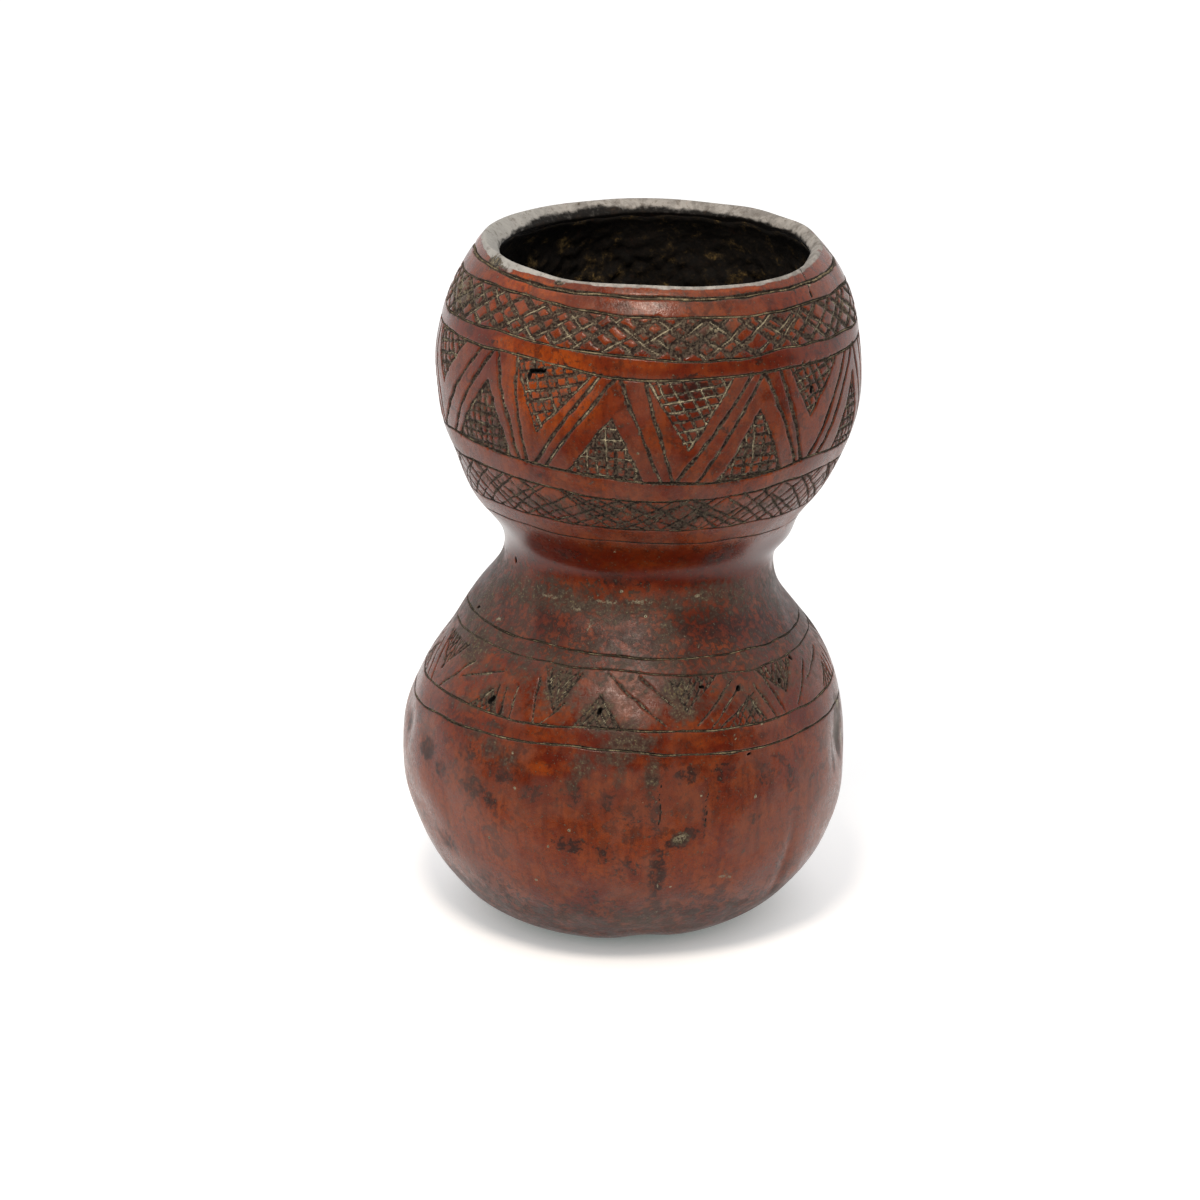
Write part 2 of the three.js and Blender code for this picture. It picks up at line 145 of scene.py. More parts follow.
RINGS_DOWN_FROM_LIP = {
    "rim_line": Ring(3.6, 1.15, 0.42, 0.3, (
        (-50, -0.2), (-30, -0.3), (-15, -0.4), (0, -0.3), (12, -0.5), (20, -0.6), (27, 0.1), (50, 0.1),
        (58, 0.9))),
    "upper_lattice_top": Ring(4.9, 0.8, 0.42, 0.3, (
        (-50, 1.5), (-30, 0.7), (-10, 0.2), (0, -0.3), (20, -0.3), (40, 0), (55, 0.7))),
    "upper_lattice_bottom": Ring(9.6, 0.7, 0.5, 0, (
        (-55, 1), (-30, 0.6), (-10, 0.1), (10, -0.7), (20, -0.9), (40, 0.7), (60, 0.3))),
    "zigzag_top": Ring(4.5, 0.75, 0.5, 0, (
        (-60, 0.8), (-40, 1.1), (-25, 0.8), (-8, -0.9), (5, -0.9), (20, -0.2), (40, 0), (60, 0))),
    "zigzag_bottom": Ring(25.8, 0.75, 0.3, 0.4, (
        (-65, 1.6), (-50, 1.3), (-30, 0.6), (-10, -0.4), (10, -1.1), (25, -1.4), (38, -0.4), (50, 1.6),
        (70, 1.1))),
    "lower_lattice_top": Ring(6, 0.6, 0.22, 0.7, (
        (-55, 2.1), (-35, 1.1), (-15, -0.4), (0, -0.9), (20, -0.4), (40, 1.1), (60, 2.6))),
    "lower_lattice_bottom": Ring(10.5, 0.5, 0.15, 0.8, (
        (-55, 0.8), (-30, 0.1), (0, 0.1), (30, -0.1), (60, -0.4))),
    "waist_line": Ring(5.3, 0.42, 0.12, 0.8, (
        (-50, 1.4), (-20, 0.2), (0, 0.2), (20, -0.4), (33, -0.3), (60, -2.1))),
}
RINGS = {**RINGS_UP_FROM_BELLY, **RINGS_DOWN_FROM_LIP}
RING_STEPS = 720  # points round a ring line
RING_DEPTH_SHARE = 0.8  # of its width
RING_DEPTH_MOST = 0.75
UNSEEN_ANGLES = (100, 130, 160, 190, 220, 250, 280)
UNSEEN_STRAY = 0.9
STRAY_SOFTNESS = 4  # degrees over which a line bends
LINE_TREMBLE = 0.13
TREMBLE_SOFTNESS = 6  # steps

# A knife line's style: width, depth, share of pale matter, how far pale matter, dirt and rounding reach in
# half widths, how much the hand's pressure changes, and how black it is
Cut = namedtuple("Cut", "width depth pale pale_reach dirt_reach round_reach play black")
UPPER_LATTICE_CUT = Cut(1.6, 0.55, 0.56, 0.34, 1.2, 1.5, 0.2, 0.12)
LOWER_LATTICE_CUT = Cut(0.5, 0.32, 0.34, 0.7, 1.3, 2.2, 0.28, 0.45)
ZIGZAG_CUT = Cut(1.08, 0.6, 0.36, 0.6, 1.15, 1.5, 0.14, 0.2)
HATCH_CUT = Cut(0.85, 0.45, 0.5, 0.7, 1.2, 1.8, 0.22, 0)
SHOULDER_CUT = Cut(0.55, 0.38, 0.5, 0.8, 1.2, 1.5, 0.2, 0.3)
SHOULDER_HATCH_CUT = Cut(0.42, 0.28, 0.3, 0.8, 1.7, 1.9, 0.3, 0)
CRACK_CUT = Cut(0.36, 0.06, 0, 0.8, 0.9, 1, 0.3, 1.5)
# The holes' black is painted shade of their depth, over a groove 2.2 mm deep
HOLE_CUT = Cut(0.8, 2.2, 0, 0.8, 1.7, 1.3, 0, 2)
RING_CUT = Cut(0.8, 0.6, 0.05, 0.8, 1.5, 1.5, 0.14, 0)
KNIFE_SHARE = 0.7  # of a cut's depth; the rest is its rounded edges
DIRT_CORE = 0.6  # half widths within which dirt is full
PALE_CORE = 0.1  # share of its reach within which pale matter is full
SOOT_CORE = 0.5  # share of the dirt's reach within which the black is full, less an edge: soot in the lines, painted shade in the holes
SOOT_EDGE = 0.3
PRESSURE_LIMITS = (0.4, 1.4)
PRESSURE_SOFTNESS = 6  # steps of a stroke
RING_PRESSURE_SOFTNESS = 19
MATTER_PLAY = 0.3
STROKE_STEP = 0.8
STROKE_TREMBLE = 0.1
STROKE_SOFTNESS = 5  # steps

# The pale matter in a ring line
FILL_STEPS = 1080
FILL_WIDTH_SHARE = 0.6  # of its cut, where it is full
FILL_LEAST_WIDTH = 0.25  # share of that where it is empty
FILL_SINK = 0.14
FILL_FLOOR_SHARE = 0.8  # of the cut's depth
FILL_HOLLOW = 0.8  # share of its height that is missing where it is empty
FILL_PLAY = ((1.2, 0.1), (4, 0.12), (13, 0.14), (45, 0.18))  # its fullness: softness in steps, and height
LEAST_FULLNESS = 0.05
FILL_ASIDE = 0.08  # share of the cut's width that it lies beside the middle
FILL_ASIDE_SOFTNESS = 11
FILL_SECTION = ((-1, 0.5), (-0.65, 0), (0.65, 0), (1, 0.5), (0.5, 1), (-0.5, 1))  # half widths, share sunk

# The lattices: degrees between lines and degrees that a line spans, with its play. Dirt fills a usual share
# of the field, and more of it near an angle.
Lattice = namedtuple("Lattice", "spacing span span_play cut dirt more_dirt dirt_angle dirt_half")
LATTICES = {
    "upper": Lattice(7, 13.6, 1.2, UPPER_LATTICE_CUT, 0.16, 0.22, 10, 24),
    "lower": Lattice(5.6, 17, 4, LOWER_LATTICE_CUT, 0.3, 0.2, 2, 30),
}
LATTICE_PLAY = 0.09  # share of the spacing
LATTICE_OVERLAP = 0.1  # into the ring lines
LATTICE_END_PLAY = 0.3
LATTICE_DIRT_CORE = 0.3  # share of its half width

# The zigzag's repeats, in degrees from their middles. lines: top and bottom of the four slanting lines.
# down: the hanging triangle's top corners and tip, and its drop. up: the standing one's tip, corners and
# rise. soil: dirt and pale matter in the hanging triangle, then in the standing one.
ZIGZAG = (
    {"lines": ((18, -5.5), (23, 2.5), (-18, -8), (-12, -5)),
     "down": (-9, 10, -1.5, 12.7), "up": (22, 6, 29.5, 17.6), "soil": ((0.3, 0.5), (0.5, 0.36))},
    {"lines": ((15, -4), (19, -0.5), (-17, -9), (-10.5, -6.5)),
     "down": (-10, 13, -2.3, 17), "up": (18.5, 6.5, 27, 15.6), "soil": ((0.34, 0.4), (0.5, 0.5))},
    {"lines": ((17, -3.5), (20.5, 2.5), (-19, -7), (-12.5, -4)),
     "down": (-11.5, 11.5, -0.4, 17.2), "up": (19.5, 8.5, 28.5, 17.6), "soil": ((0.1, 0.72), (0.44, 0.5))},
    {"lines": ((15.5, -0.5), (20, 3.5), (-18.5, -5.5), (-13.5, -3.5)),
     "down": (-10, 10, -2, 13), "up": (20.5, 11, 26, 18.1), "soil": ((0.36, 0.42), (0.4, 0.5))},
)
ZIGZAG_MIDDLES = (-70, -28.5, 10.5, 50, 90, 130, 170, 210, 250)
ZIGZAG_HATCH_SPACING = 2.6
HANGING_SLANT = (8, 16)  # limits in degrees; its other hatching follows its left side
STANDING_SLANTS = ((84, 98), (-4, 8))
HATCH_START = (0.4, 0.8)  # limits of the first line's place and of the steps, in spacings
HATCH_STEP = (0.8, 1.2)
HATCH_END = 0.3
TRIANGLE_FADE = (-0.4, 0.6)  # millimetres inside its sides
BAND_FADE = (-0.2, 0.8)

# The shoulder band's freer drawing, as it shows: slanting lines, then hatched triangles by their corners
SHOULDER_LINES = (
    ((-58, 88.5), (-43, 93.5)), ((-42.5, 90), (-41, 83)), ((-39.5, 90), (-38.5, 83)),
    ((-36, 91), (-35, 83)), ((-30, 94), (-28, 83)), ((-20, 89), (-25.5, 83.5)), ((-9.5, 98), (9, 84.5)),
    ((1, 97), (11.5, 89)), ((30, 94.5), (18, 84)), ((33, 93), (22, 83)), ((37, 90), (25, 83)),
    ((38, 92), (44, 82.5)), ((42, 93.5), (48, 82.5)), ((64, 93), (54, 83.5)),
)
SHOULDER_TRIANGLES = (
    ((-50, 83), (-40, 83), (-44, 88.5)), ((-29, 97), (-17, 97), (-23, 87)),
    ((-16, 83.5), (-3, 83.5), (-10, 92)), ((10, 96), (25, 96), (15, 88)),
    ((27, 82.5), (40, 82.5), (35, 89.5)), ((40, 95.5), (57, 95.5), (50, 88)),
)
SHOULDER_TURN = 120  # the unseen sides repeat it at this angle
SHOULDER_SLANTS = ((48, 62), (96, 120))
SHOULDER_HATCH_SPACING = 1.7

# Insect holes: angle, distance, width, length and slant in degrees. Their black is painted shade.
HOLES = (
    (-33.8, 180.2, 0.9, 2.3, 82), (-31.8, 181.2, 0.95, 3.4, 8), (-29.6, 181.5, 0.6, 1.2, 40),
    (48.2, 176.2, 1.05, 1.7, 72), (54, 199.3, 0.65, 1.5, 88), (-70.5, 183, 0.6, 1, 85),
    (-64, 120, 0.75, 1.5, -58), (-72, 104, 0.6, 1.2, 14), (-70, 87.5, 0.7, 1.1, 80),
    (-43, 86, 1.05, 2.3, 66), (-9.5, 88, 0.85, 1.7, 80), (32, 92, 0.95, 1.4, 60), (48.5, 91, 1, 1.4, 40),
    (58, 95.3, 0.7, 1.5, -62), (33, 75, 0.5, 1.3, 6), (20, 93.6, 0.6, 1.3, -12), (118, 171, 0.9, 1.8, 70),
    (152, 92, 0.8, 1.4, 30), (-128, 178, 0.9, 1.6, 80), (-150, 66, 0.7, 1.2, -40), (171, 146, 0.7, 1.3, 60),
    (-108, 96, 0.8, 1.6, 75),
)

# Small pits, painted only, by angle and distance: a pale rim that is a painted highlight, round a black
# middle that is painted shade
PITS = (
    (4, 66), (-14, 58), (-37, 51.5), (-19.5, 53), (29, 79.5), (-31, 75), (19, 66.5), (35, 63.5),
    (-8, 118.5), (2, 112.5), (-10, 131), (24, 117), (12, 41), (-24, 42), (-3, 164), (-13, 157.5), (38, 82),
    (-29, 66.5),
)
PIT_RADIUS = 0.5
PIT_PLAY = (0.7, 1.2)
PIT_STRENGTH = 0.9
PIT_HOLE_SHARE = 0.5  # of its radius
PIT_CORE = 0.5

# Dents and furrows: angle, distance, half width, half height and depth
DENTS = (
    (77, 67, 11, 10, 1.8), (-79, 70, 9, 7, 0.8), (48, 41, 2.6, 15, 0.5), (55, 40, 9, 14, -0.5),
    (8, 12, 9, 22, 1), (140, 52, 10, 14, 1.0), (-130, 36, 7, 16, 0.9), (176, 150, 10, 8, 0.7),
    (90, 108, 30, 11, 1.7), (-90, 108, 30, 11, -1.7), (90, 125, 26, 6, -1), (-90, 125, 26, 6, 0.8),
    (-90, 150, 24, 8, 0.6), (90, 140, 24, 9, -0.6), (-90, 130, 26, 7, 1.4), (90, 128, 26, 7, -1.2),
    (-90, 100, 30, 8, -0.8), (90, 98, 30, 8, 0.7), (4, 82, 16, 9, -0.6),
)

# Patches by angle, distance, half width, half height and strength. Grime is khaki dirt, stain dark brown
# bruising, the orange patches the thinner skin's colour with painted light on the upper bulb's left and a
# painted highlight on the lip's front edge among them, polish its rubbed red, dirt dark soil, worn bare grey
# rind, and pale dry matter with painted reflections on the upper lattice's sides.
PATCHES = {
    "grime": (
        (5, 26, 10, 7, 0.55), (-2, 114.5, 8, 4, 0.7), (-40, 80, 6, 2, 0.45), (-52, 114, 18, 7, 0.66),
        (-30, 114.5, 16, 5, 0.7), (-12, 113, 10, 7, 0.6), (4, 115.5, 14, 4, 0.6), (-72, 105, 13, 17, 0.66),
        (-60, 96, 11, 9, 0.78), (-50, 101, 6, 6, 0.62), (-40, 99, 9, 4, 0.62), (-36, 94, 6, 4, 0.55),
        (-23, 93, 7, 9, 0.9), (-28, 99, 6, 3, 0.55), (-10, 87, 8, 8, 0.9), (-2, 84, 8, 4, 0.7),
        (13, 93, 9, 7, 0.9), (14, 88, 6, 5, 0.8), (8, 100, 7, 4, 0.55), (10, 108, 5, 7, 0.62),
        (0, 80.5, 11, 4, 0.8), (-4, 77, 8, 4, 0.7), (6, 73, 3.2, 9, 0.75), (-2, 72, 3, 5, 0.55),
        (-12, 74, 5, 5, 0.72), (-14, 70, 3, 4, 0.6), (30, 117, 12, 5, 0.66), (44, 116, 10, 6, 0.62),
        (50, 92, 7, 6, 0.75), (36, 87, 5, 5, 0.66), (-44, 87, 5, 5, 0.75), (-52, 83, 9, 3, 0.5),
        (-38, 75, 5, 5, 0.62), (-32, 73, 4, 5, 0.55), (-45, 77, 6, 3, 0.5), (15, 193, 9, 6, 0.72),
        (5, 191, 8, 4, 0.5), (-72, 193, 16, 8, 0.66), (-27, 146, 24, 5, 0.48), (8, 146, 26, 5, 0.56),
        (42, 147, 16, 6, 0.4), (70, 112, 14, 12, 0.5), (78, 72, 9, 12, 0.75), (33, 158, 4, 2.5, 0.66),
        (13.8, 55.6, 3.6, 2.8, 1.35),
    ),
    "stain": (
        (15, 72, 6, 4, 0.75), (-45, 72, 5, 4, 0.6), (-40, 80, 6, 2.5, 0.6), (0, 48, 5, 4, 0.55),
        (44, 72, 3, 4, 0.4), (-62, 68, 7, 5, 0.85), (-55, 65, 5, 4, 0.7), (-42, 64, 7, 5, 0.8),
        (-36, 62, 4, 4, 0.7), (-33, 69, 6, 4, 0.7), (-24, 66, 6, 4, 0.6), (-13, 67, 5, 5, 0.7),
        (-5, 66, 4, 5, 0.6), (-14, 54, 8, 4, 0.7), (-5, 52, 6, 5, 0.6), (2, 62, 5, 4, 0.55),
        (7, 64, 3, 13, 0.62), (8, 45, 4, 13, 0.85), (8, 30, 6, 13, 0.8), (12, 54.3, 5, 3.4, 0.75),
        (16.5, 56.8, 4, 3, 0.8), (20, 60, 1.4, 9, 0.6), (-56, 44, 9, 6, 0.62), (25, 72, 5, 5, 0.6),
        (23, 66, 4, 3, 0.5), (38, 69, 4, 6, 0.62), (47, 66, 3.4, 6, 0.6), (34, 58, 5, 3, 0.5),
        (50, 102, 2.5, 1.8, 0.85), (-40, 36, 12, 7, 0.55), (-22, 32, 14, 7, 0.55), (-8, 38, 8, 5, 0.5),
        (30, 32, 12, 8, 0.55), (46, 42, 3, 12, 0.6), (79, 66, 5, 10, 1), (70, 64, 3, 9, 0.7),
        (-79, 70, 7, 6, 0.7), (-48, 185, 4, 2, 0.6), (-25, 184, 3, 2, 0.5), (20, 172, 5, 10, 0.5),
        (48, 178, 10, 9, 0.5), (60, 190, 14, 14, 0.45), (31, 128, 8, 5, 0.6), (-30, 128, 8, 4, 0.55),
        (-8, 121, 12, 3, 0.5), (25, 121, 8, 3, 0.55), (-30, 155, 6, 2, 0.5), (10, 180, 10, 6, 0.75),
        (28, 186, 4, 2, 0.5), (50, 200, 10, 3, 0.45), (8, 200, 5, 2, 0.5),
    ),
    "warm_and_lit": (
        # On the upper bulb's left, from -42 to -20 degrees and 178 to 201 mm, these are painted light where
        # more of it falls; the thin one along the lip at 204 mm is a painted highlight on its front edge
        (-42, 201, 20, 4, 1), (20, 204, 34, 1.8, 0.7), (-42, 186, 10, 3.5, 0.8), (-15, 154, 8, 3, 0.6),
        (35, 154.5, 6, 3, 0.6), (-42, 198, 26, 14, 0.62), (-28, 178, 24, 19, 0.85), (-20, 187, 18, 5, 0.4),
        (-2, 186, 16, 4, 0.5), (-22, 72.5, 9, 3.5, 0.6), (-15, 74, 6, 3, 0.5), (0, 72, 4, 4, 0.5),
        (15, 106, 6, 4, 0.5), (22, 79.5, 10, 2.5, 0.5), (-24, 80.5, 8, 2.5, 0.5), (17, 47, 10, 6, 0.5),
        (-28, 54, 15, 8, 0.55), (-50, 54, 9, 9, 0.5), (-45, 108, 5, 3, 0.5), (-40, 88, 7, 4, 0.45),
        (-14, 45, 12, 5, 0.45), (0, 126, 30, 5, 0.4),
    ),
    "polish": ((24, 110, 15, 6, 0.7), (38, 107, 10, 6, 0.6), (-20, 73, 10, 4, 0.55), (-20, 186, 12, 3, 0.6),
               (10, 179, 10, 7, 0.9)),
    "dirt": ((-62, 203.2, 6, 3.2, 0.8), (-32.3, 203.6, 2.2, 2.6, 0.8), (-56, 202.8, 3, 2, 0.7)),
    "worn_and_lit": (
        (-92, 205.6, 9, 1.4, 0.8), (-61, 204.4, 4, 3.4, 1), (-56, 204, 3, 2.6, 0.9),
        (-53, 203.4, 2, 2, 0.7), (-32.5, 205, 1.8, 2.2, 0.95), (-31, 204, 1.2, 1.4, 0.7),
        (55, 205.2, 1.2, 1.2, 0.6),
    ),
    "pale": (
        (13.8, 55.8, 2.6, 1.9, 0.55), (26.5, 42.3, 1.8, 0.9, 0.72), (28.8, 41.7, 1.5, 0.8, 0.66),
        (8.5, 42, 0.6, 1.5, 0.55), (79, 76, 3, 2, 0.8), (83, 64, 1.6, 6, 0.6), (-57, 104.5, 2, 1.2, 0.55),
        (-19, 109, 1.5, 2.4, 0.5), (23, 117, 0.8, 0.8, 0.75), (-38, 114.5, 5, 1, 0.5),
        (-26, 113, 2.5, 0.8, 0.5), (0, 116, 5, 1.2, 0.45), (-14, 115.6, 5, 0.8, 0.5),
        (16, 194, 2.2, 2.5, 0.5), (9, 31, 1.2, 2.2, 0.35), (55.3, 201.8, 0.9, 1.3, 0.8),
        # The two wide patches at 193 mm, on the upper lattice's left and right sides, are painted reflections
        # of the white surroundings
        (-62, 203.4, 5, 3, 0.5), (-32.3, 203.8, 1.8, 2.4, 0.5), (-76, 193, 17, 7, 0.42),
        (76, 193, 14, 7, 0.36),
    ),
}
# Bands all the way round, by distance, half height and strength
PATCH_BANDS = {
    # The first stain band darkens the shoulder all round, from about 86 to 126 mm, and the first polish band
    # darkens the waist, below the upper bulb
    "stain": ((106, 20, 0.7), (25, 16, 0.71)),
    "grime": ((114.5, 7, 0.4), (95, 16, 0.36), (24, 15, 0.26)),
    "polish": ((126, 10, 1), (79, 4, 0.35), (186, 4, 0.6), (171, 17, 0.18), (199.5, 3.5, 0.1)),
    "warm_and_lit": ((52, 22, 0.48),),
    # The band round the lip's crest is partly wear and partly a painted highlight line along it
    "worn_and_lit": ((206.5, 2.4, 0.4),),
}
PATCH_CORE = 0.25  # share of its size within which a patch is full
BAND_CORE = 0.3
UNSEEN_TURNS = (0, 123, 241)  # the unseen sides have the same patches, turned by these angles
SEEN_ANGLE = 86  # as far round as the photograph shows

# Thin cracks, as paths
CRACKS = (
    ((20.9, 67), (20.2, 64.5), (20.7, 62), (20, 58.5)), ((8.6, 71), (8, 67), (8.8, 63), (8.1, 60)),
    ((55.6, 205.5), (54.8, 202.5), (54, 199)), ((163, 62), (164, 55), (163.6, 50), (165, 41)),
)

# Grid of the shell's wall
COLUMNS = 1152
FINE_STEP = 0.3
COARSE_STEP = 0.75
FINE_ZONES = ((38, 105), (110, 123), (130, 206))
RING_ROW_STEP = 0.15  # rows lie along the ring lines, and are this close within a reach of them
RING_ROW_REACH = 0.6
ROW_MARGIN = 0.6
LIP_ROWS = 18
INSIDE_STEP = 4

# Level faces, as rows that start at a small circle and stop short of the base's edge
POLE_RADIUS = 2
FOOT_ROWS = 9
FOOT_STOP = 1.5
FOOT_HOLLOW = 0.9  # the foot's middle stands clear of the ground
FOOT_HOLLOW_SPAN = (3, 15)
FLOOR_ROWS = 6
FLOOR_STOP = 3
LINING_FLOOR_ROWS = 8
LINING_FLOOR_STOP = 2
LINING_COLUMNS = 480
LINING_ROWS = 190

# Heights in the pieces' surface map, OFBake: the rind's foot, outside, lip, inside and floor, then the
# lining's underside, back, face and floor
RIND_MAP = ((0.004, 0.05), (0.052, 0.902), (0.905, 0.96), (0.962, 0.99), (0.991, 0.997))
LINING_MAP = ((0.01, 0.03), (0.032, 0.132), (0.135, 0.935), (0.94, 0.99))

# Colours, as six-figure codes
COLOURS = {
    "dark skin": "591b09", "skin": "6b290c", "light skin": "7d380f", "dark streak": "451405",
    "polished skin": "4c0e03", "orange skin and light": "8d3d0c", "orange streak and light": "782e09", "bruise": "2e120a",
    "stain's edge": "3a170d", "stain": "1f0e0a", "dark crumbs": "260d06", "light grain": "94502c",
    "haze": "6b5047", "dark film": "2a2018", "film": "4a3e31", "dark soil": "2e261c", "soil": "544934",
    "light soil": "83764f", "bare rind": "a29e98", "grey rind": "7b7772", "light rind": "a4a4a0",
    "rind's specks": "564c43", "black dirt": "14110d", "dirt": "4a4135", "pale matter and painted light": "b3a88a",
    "dull matter": "655c4a", "soot_and_shade": "0c0907", "brown_black_and_shade": "2c2117",
    "black crust": "0a0806", "crust": "1a130c", "brown flakes": "574524", "light flakes": "a88c54",
    "red crust": "2c170b", "dark filling": "40382b", "filling": "8b7e62", "filling's dust": "54452f",
}
# Cloudy patterns of the finishes: the size of their patches in millimetres, their detail, roughness and
# distortion, and how much closer they are taken along each axis
Pattern = namedtuple("Pattern", "size detail roughness distortion closeness", defaults=(0.55, 0, (1, 1, 1)))
PATTERNS = {
    "broad": Pattern(26, 2), "haze": Pattern(15, 5, 0.6, 0.3), "cloud": Pattern(7, 6, 0.65),
    "mottle": Pattern(4, 7, 0.72, 0.4), "speckle": Pattern(2.2, 6, 0.75, 0.3), "crumbs": Pattern(1.1, 5, 0.7),
    "grain": Pattern(0.55, 3, 0.6), "streak": Pattern(2, 4, 0.6, 0, (1, 1, 0.12)),
    "flakes": Pattern(4.2, 7, 0.74, 0.15), "pulp crumbs": Pattern(1.5, 5, 0.65),
    "lumps": Pattern(2.8, 7, 0.8), "dust": Pattern(0.5, 2),
}
RIND_RELIEF = 0.2  # millimetres
RIND_RELIEF_STRENGTH = 0.8
PULP_RELIEF = 0.5
FILLING_RELIEF = 0.12
SKIN_ROUGHNESS = (0.19, 0.38)
RUBBED_ROUGHNESS = 0.18
DULL_ROUGHNESS = 0.78
PULP_ROUGHNESS = (0.75, 0.98)
FILLING_ROUGHNESS = (0.8, 0.97)
SPECULAR = 0.28  # an oiled, worn skin reflects less than a varnished one
DUST = 0.1  # sheen of the dust on it, which shows where the surface turns away
DUST_ROUGHNESS = 0.25
FLECKS_FROM = 0.158  # metres up: the crust shows more pale flecks below this
FLECKS_FULL = 0.138
LIGHT_LIP_SHARE = 0.65
LIGHT_LIP_FULL = -0.03  # metres right of the middle: the lip's bare face is lighter left of this
LIGHT_LIP_END = -0.008
LIGHT_LIP_FROM = 0.172  # metres up: only the cut face itself is lighter
LIGHT_LIP_ABOVE = 0.1745

# Floor and white tent, in metres. In reflections the tent is open and dark at the front.
FLOOR_SIZE = 8
FLOOR_COLOUR = (0.9, 0.9, 0.9, 1)
FLOOR_SHADE = (0.12, 0.11, 0.1, 1)
FLOOR_GLOW_NEAR = (0.08, 0.11, 0.1, 1)  # dimmer under and round the jug: a painted shadow that deepens its cast one
FLOOR_GLOW_FAR = (0.42, 0.42, 0.42, 1)
GLOW_NEAR = 0.018  # from the jug's middle
GLOW_FAR = 0.056
OPEN_FRONT_NEAR = 0.04  # in front of the jug
OPEN_FRONT_FAR = 0.16
WHITE = (1, 1, 1, 1)
AMBIENT = 0.72
OPEN_FRONT = 0.08  # brightness of the opening
OPEN_FRONT_EDGE = 0.05  # share of a direction that points to the front where the opening starts
OPEN_FRONT_FULL = 0.35

# Lamp, in metres and watts
LAMP_PLACE = (-0.068, -0.36, 0.55)
LAMP_TARGET = (0, 0, 0.1)
LAMP_SIZE = 0.15
LAMP_POWER = 2.15
LAMP_TINT = (1, 0.88, 0.76)

# Camera: the photograph's view, in a frame as wide as it is high
CAMERA_AIM = (-6.34, 0, 82.1)
CAMERA_DISTANCE = 900
CAMERA_ELEVATION_DEGREES = 17.83
CAMERA_FOCAL_PIXELS = 3507
PHOTO_PIXELS = 1200
SENSOR = 36

random = np.random.default_rng(SEED)


# Outline and surface of the wall

def smooth(value, low, high):
    """A soft step from 0 at low to 1 at high."""
    share = np.clip((value - low) / (high - low), 0, 1)
    return share * share * (3 - 2 * share)


def bezier(start, first_handle, second_handle, end):
    share = np.linspace(0, 1, CURVE_POINTS)[:, None]
    near = (1 - share) ** 3 * start + 3 * (1 - share) ** 2 * share * first_handle
    return near + 3 * (1 - share) * share ** 2 * second_handle + share ** 3 * end


belly_height = BASE_TO_BELLY
waist_height = belly_height + BELLY_TO_WAIST
bulb_height = waist_height + WAIST_TO_BULB
lip_height = bulb_height + BULB_TO_LIP


def outer_wall():
    """The rind's outer curve as radius and height, from the standing flat's edge to the lip."""
    lip_angle = math.radians(LIP_INWARD_DEGREES)
    level = np.array([1, 0])
    upright = np.array([0, 1])
    inward = np.array([-math.sin(lip_angle), math.cos(lip_angle)])
    ends = np.array([(BASE_RADIUS, 0), (BELLY_RADIUS, belly_height), (WAIST_RADIUS, waist_height),
                     (BULB_RADIUS, bulb_height), (LIP_RADIUS, lip_height)])
    leaving = (BASE_FULLNESS * (BELLY_RADIUS - BASE_RADIUS) * level,
               BELLY_FULLNESS_ABOVE * BELLY_TO_WAIST * upright,
               WAIST_FULLNESS_ABOVE * WAIST_TO_BULB * upright,
               BULB_FULLNESS_ABOVE * BULB_TO_LIP * upright)
    arriving = (BELLY_FULLNESS_BELOW * BASE_TO_BELLY * upright,
                WAIST_FULLNESS_BELOW * BELLY_TO_WAIST * upright,
                BULB_FULLNESS_BELOW * WAIST_TO_BULB * upright,
                LIP_FULLNESS * BULB_TO_LIP * inward)
    curve = [ends[:1]]
    for start, end, leave, arrive in zip(ends, ends[1:], leaving, arriving):
        curve.append(bezier(start, start + leave, end - arrive, end)[1:])
    return np.vstack(curve)


wall = outer_wall()
arc = np.concatenate([[0], np.cumsum(np.hypot(*np.diff(wall, axis=0).T))])
tangent = np.gradient(wall, arc, axis=0)
tangent /= np.linalg.norm(tangent, axis=1)[:, None]
lip_distance = arc[-1]
belly_distance = arc[CURVE_POINTS - 1]


def along_wall(distance):
    """Radius and height of the wall, and its direction, at distances along it."""
    values = (wall[:, 0], wall[:, 1], tangent[:, 0], tangent[:, 1])
    return [np.interp(distance, arc, value) for value in values]


def degree_length(distance):
    """How far a degree reaches round the wall at a distance along it."""
    return math.radians(1) * np.interp(distance, arc, wall[:, 0])


def even_angles(count):
    return np.arange(count) * 360 / count


def from_angle(angle, middle):
    """Degrees from a middle angle, the short way round."""
    return (angle - middle + 180) % 360 - 180


def lean(x, y, z):
    """Leans points the way that the gourd grew. The standing flat stays where it is."""
    heights = (belly_height, waist_height, bulb_height, lip_height)
    offsets = (0, WAIST_OFFSET, BULB_OFFSET, LIP_OFFSET)
    shift = 0
    for i in range(len(heights) - 1):
        shift = shift + (offsets[i + 1] - offsets[i]) * smooth(z, heights[i], heights[i + 1])
    dip_right = math.tan(math.radians(DIP_RIGHT_DEGREES))
    dip_front = math.tan(math.radians(DIP_FRONT_DEGREES))
    dip = (dip_right * x - dip_front * y) * z / bulb_height
    return np.stack([x + shift, y, z - dip], axis=-1)


def swells(x, y, z, kinds, generator):
    """Unordered swells over points in space. Each kind is a length, a height and a number of waves."""
    total = np.zeros(np.broadcast(x, y, z).shape)
    for length, height, count in kinds:
        for _ in range(count):
            way = generator.normal(size=3)
            way *= 2 * math.pi / (length * np.linalg.norm(way))
            start = generator.uniform(0, 2 * math.pi)
            wave = np.cos(way[0] * x + way[1] * y + way[2] * z + start)
            total += height * math.sqrt(2 / count) * wave
    return total


